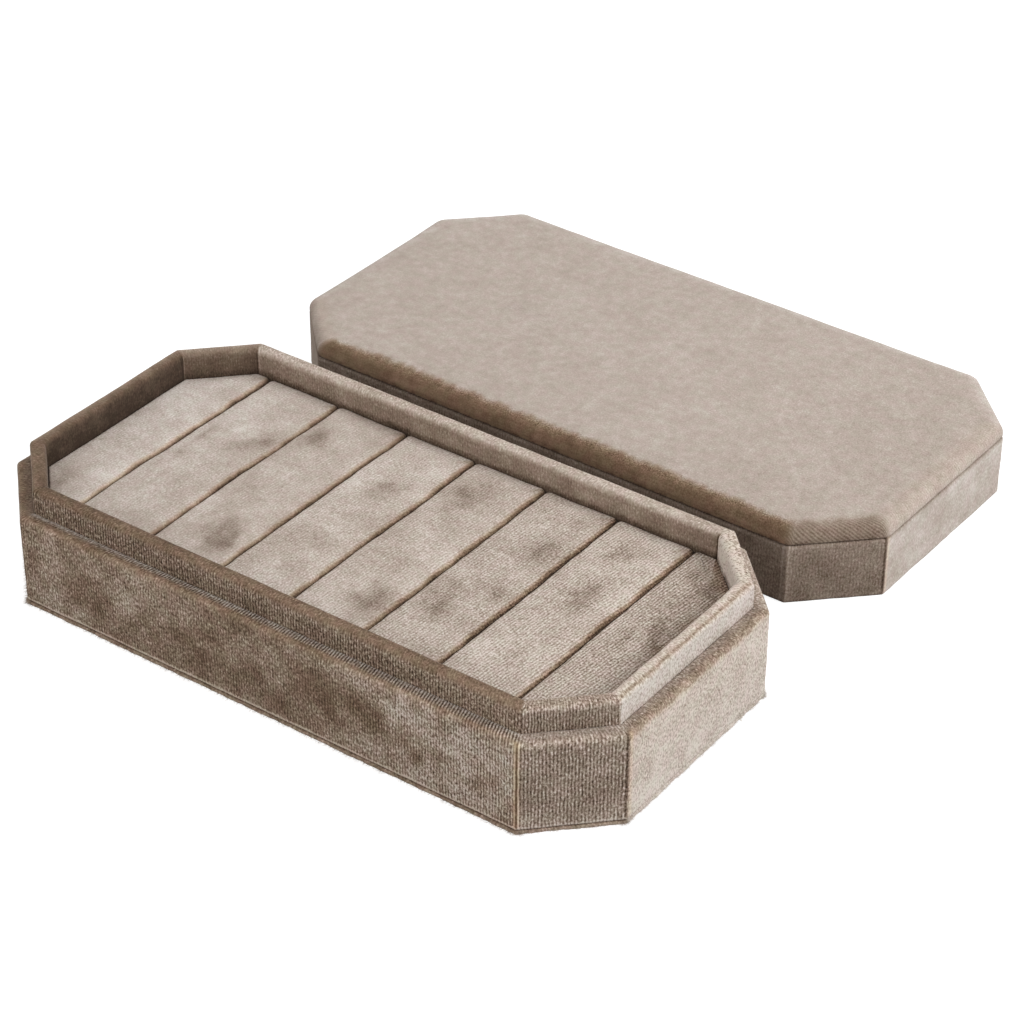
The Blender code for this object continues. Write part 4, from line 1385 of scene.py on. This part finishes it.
pad = pad_form(octagon(), PAD_LOW, PAD_HIGH - PAD_LOW - PAD_CROWN, SIDES * [PAD_EDGE_ROUND],
               SIDES * [PAD_CORNER_ROUND], PAD_DRAW_IN, PAD_GRID)
points = filled(pad, PAD_CROWN, PAD_SWELL, PAD_SHARES)
on_top = smooth_step(points[..., 2], PAD_LOW + 1 * MM, PAD_HIGH - 1 * MM)
points[..., 2] += on_top * uneven(points, (0.1, 14, 40), (0.04, 4, 41))
print("the pad's grid has", *points.shape[:2], "rows and columns")

# %% The lid's pad
strokes = points * (2.0, 1.0, 1.0)
ragged = pad.beyond + uneven(points, (0.6, 4, 42)) + uneven(strokes, (0.8, 2.4, 43))
# The pile's sheen painted by side: pale on top and dark where it tips over the front edge, with painted
# highlights along the far edges and painted shade where the pad meets the wall
nap = paint(pad.columns, ragged, [
    (-2.8 * MM, (0.74, 0.75, 0.74, 0.74, 0.74, 0.74, 0.74, 0.74)),
    (-1.4 * MM, (0.56, 0.65, 0.74, 0.76, 0.76, 0.75, 0.76, 0.74)),
    (-0.2 * MM, (0.34, 0.5, 0.72, 0.78, 0.8, 0.8, 0.78, 0.73)),
    (2.0 * MM, (0.29, 0.42, 0.72, 0.83, 0.84, 0.84, 0.79, 0.7)),
    (3.6 * MM, (0.36, 0.42, 0.76, 0.8, 0.74, 0.74, 0.7, 0.64)),
    (4.6 * MM, (0.44, 0.4, 0.78, 0.76, 0.64, 0.64, 0.58, 0.54)),
    (5.6 * MM, (0.24, 0.2, 0.6, 0.6, 0.3, 0.2, 0.2, 0.15)),
])
ribs = paint(pad.columns, pad.beyond, [
    (-1.5 * MM, (0.05,) * SIDES),
    (1.0 * MM, (0.1, 0.85, 0.3, 0.3, 0.1, 0.1, 0.1, 0.2)),
])
warm = paint(pad.columns, ragged, [
    (-2.6 * MM, (0.0,) * SIDES),
    (-0.4 * MM, (0.9, 0.2, 0.1, 0.0, 0.0, 0.0, 0.0, 0.1)),
])
# A painted highlight line along the front edge, and the top painted a little darker towards the right
streak = 0.5 + noise(points, 12 * MM, 44)
nap += 0.12 * streak * line(pad.beyond, 3.3 * MM, 0.35 * MM) * on_side(pad.columns, 0)
nap -= 0.03 * smooth_step(points[..., 0], 0.1 * HALF_X, HALF_X) * (pad.beyond < 0)
frayed = line(pad.beyond, -0.8 * MM, 1.4 * MM) * on_side(pad.columns, 0)
grain = 0.8 + 0.3 * points[..., 0] / HALF_X + 1.6 * frayed
lid_pad = grid_piece("lid_pad", points, on_cloth(pad.flat),
                     {"nap": nap, "ribs": ribs, "warm": warm, "grain": grain},
                     closed=False, plain=pad.points)
lid_pad.data.transform(lid_place)
settle(lid_pad, pad_velvet, "lid", "pad_velvet", "lid_pad_velvet", "lid_pad_foam")

# %% [markdown]
# ## Boards, cards and the lining
#
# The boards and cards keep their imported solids. Greyboard is pressed from waste paper, so it is a
# dull grey-brown with darker and paler flecks. Card is paler and smoother.

# %% Board and card
# The stretch of the noise over which flecks show, and the height of the paper's tooth
FLECKS = (0.42, 0.68)
TOOTH = 0.05 * MM


def flecked(name, ground, fleck, fleck_size, roughness):
    """Paper board: two colours mixed by fibrous noise, with a fine tooth."""
    material, tree, shader = new_material(name)
    place = add_node(tree, "TexCoord").outputs["Object"]
    flecks = texture(tree, place, fleck_size, 5.0, 0.75)
    mixed = mixed_colours(tree, mapped(tree, flecks, FLECKS), colour(ground), colour(fleck))
    bump = add_node(tree, "Bump", {"Height": flecks, "Strength": 0.3, "Distance": TOOTH}).outputs[0]
    set_inputs(tree, shader, {"Base Color": mixed, "Normal": bump, "Roughness": roughness})
    return material


greyboard = flecked("pressed_greyboard", "#8d857b", "#5f574e", 0.8 * MM, 0.85)
card = flecked("ivory_card", "#cfc8ba", "#b8b0a1", 0.5 * MM, 0.6)
for node_name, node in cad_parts.items():
    finish = card if "card" in node_name else greyboard if "board" in node_name else None
    if finish:
        node.data.materials.clear()
        node.data.materials.append(finish)
print("finished the boards in", greyboard.name, "and the cards in", card.name)

# %% The lining
LINING_SPACING = 2 * MM
LINING_CORNER = 0.4 * MM
# The lining's edge, as insets and heights in millimetres
LINING_EDGE = ((0.25, 0.0), (0.0, 0.2), (0.0, 0.5), (0.1, 0.7))
SEEN_RINGS, HIDDEN_RINGS = 12, 3

rows = np.array(LINING_EDGE) * MM
side = swept(columns_round(octagon(), LINING_SPACING), LID_INNER - CLOTH + rows[:, 0],
             LINING_Z + rows[:, 1], np.full(len(rows), LINING_CORNER))
points = capped(side, SEEN_RINGS, HIDDEN_RINGS)
points[..., 2] += uneven(points, (0.05, 9, 50)) * (points[..., 2] < LINING_Z + TINY)
lining = grid_piece("lid_lining", points, on_cloth(points), {"nap": 0.7, "ribs": 0.7}, closed=False)
lining.data.transform(lid_place)
settle(lining, lid_velvet, "lid", "lining_velvet", "lid_lining_velvet")

# %% Sizes, and the end
low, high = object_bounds()
print("the dressed box measures", [round(side / MM, 1) for side in high - low], "mm")
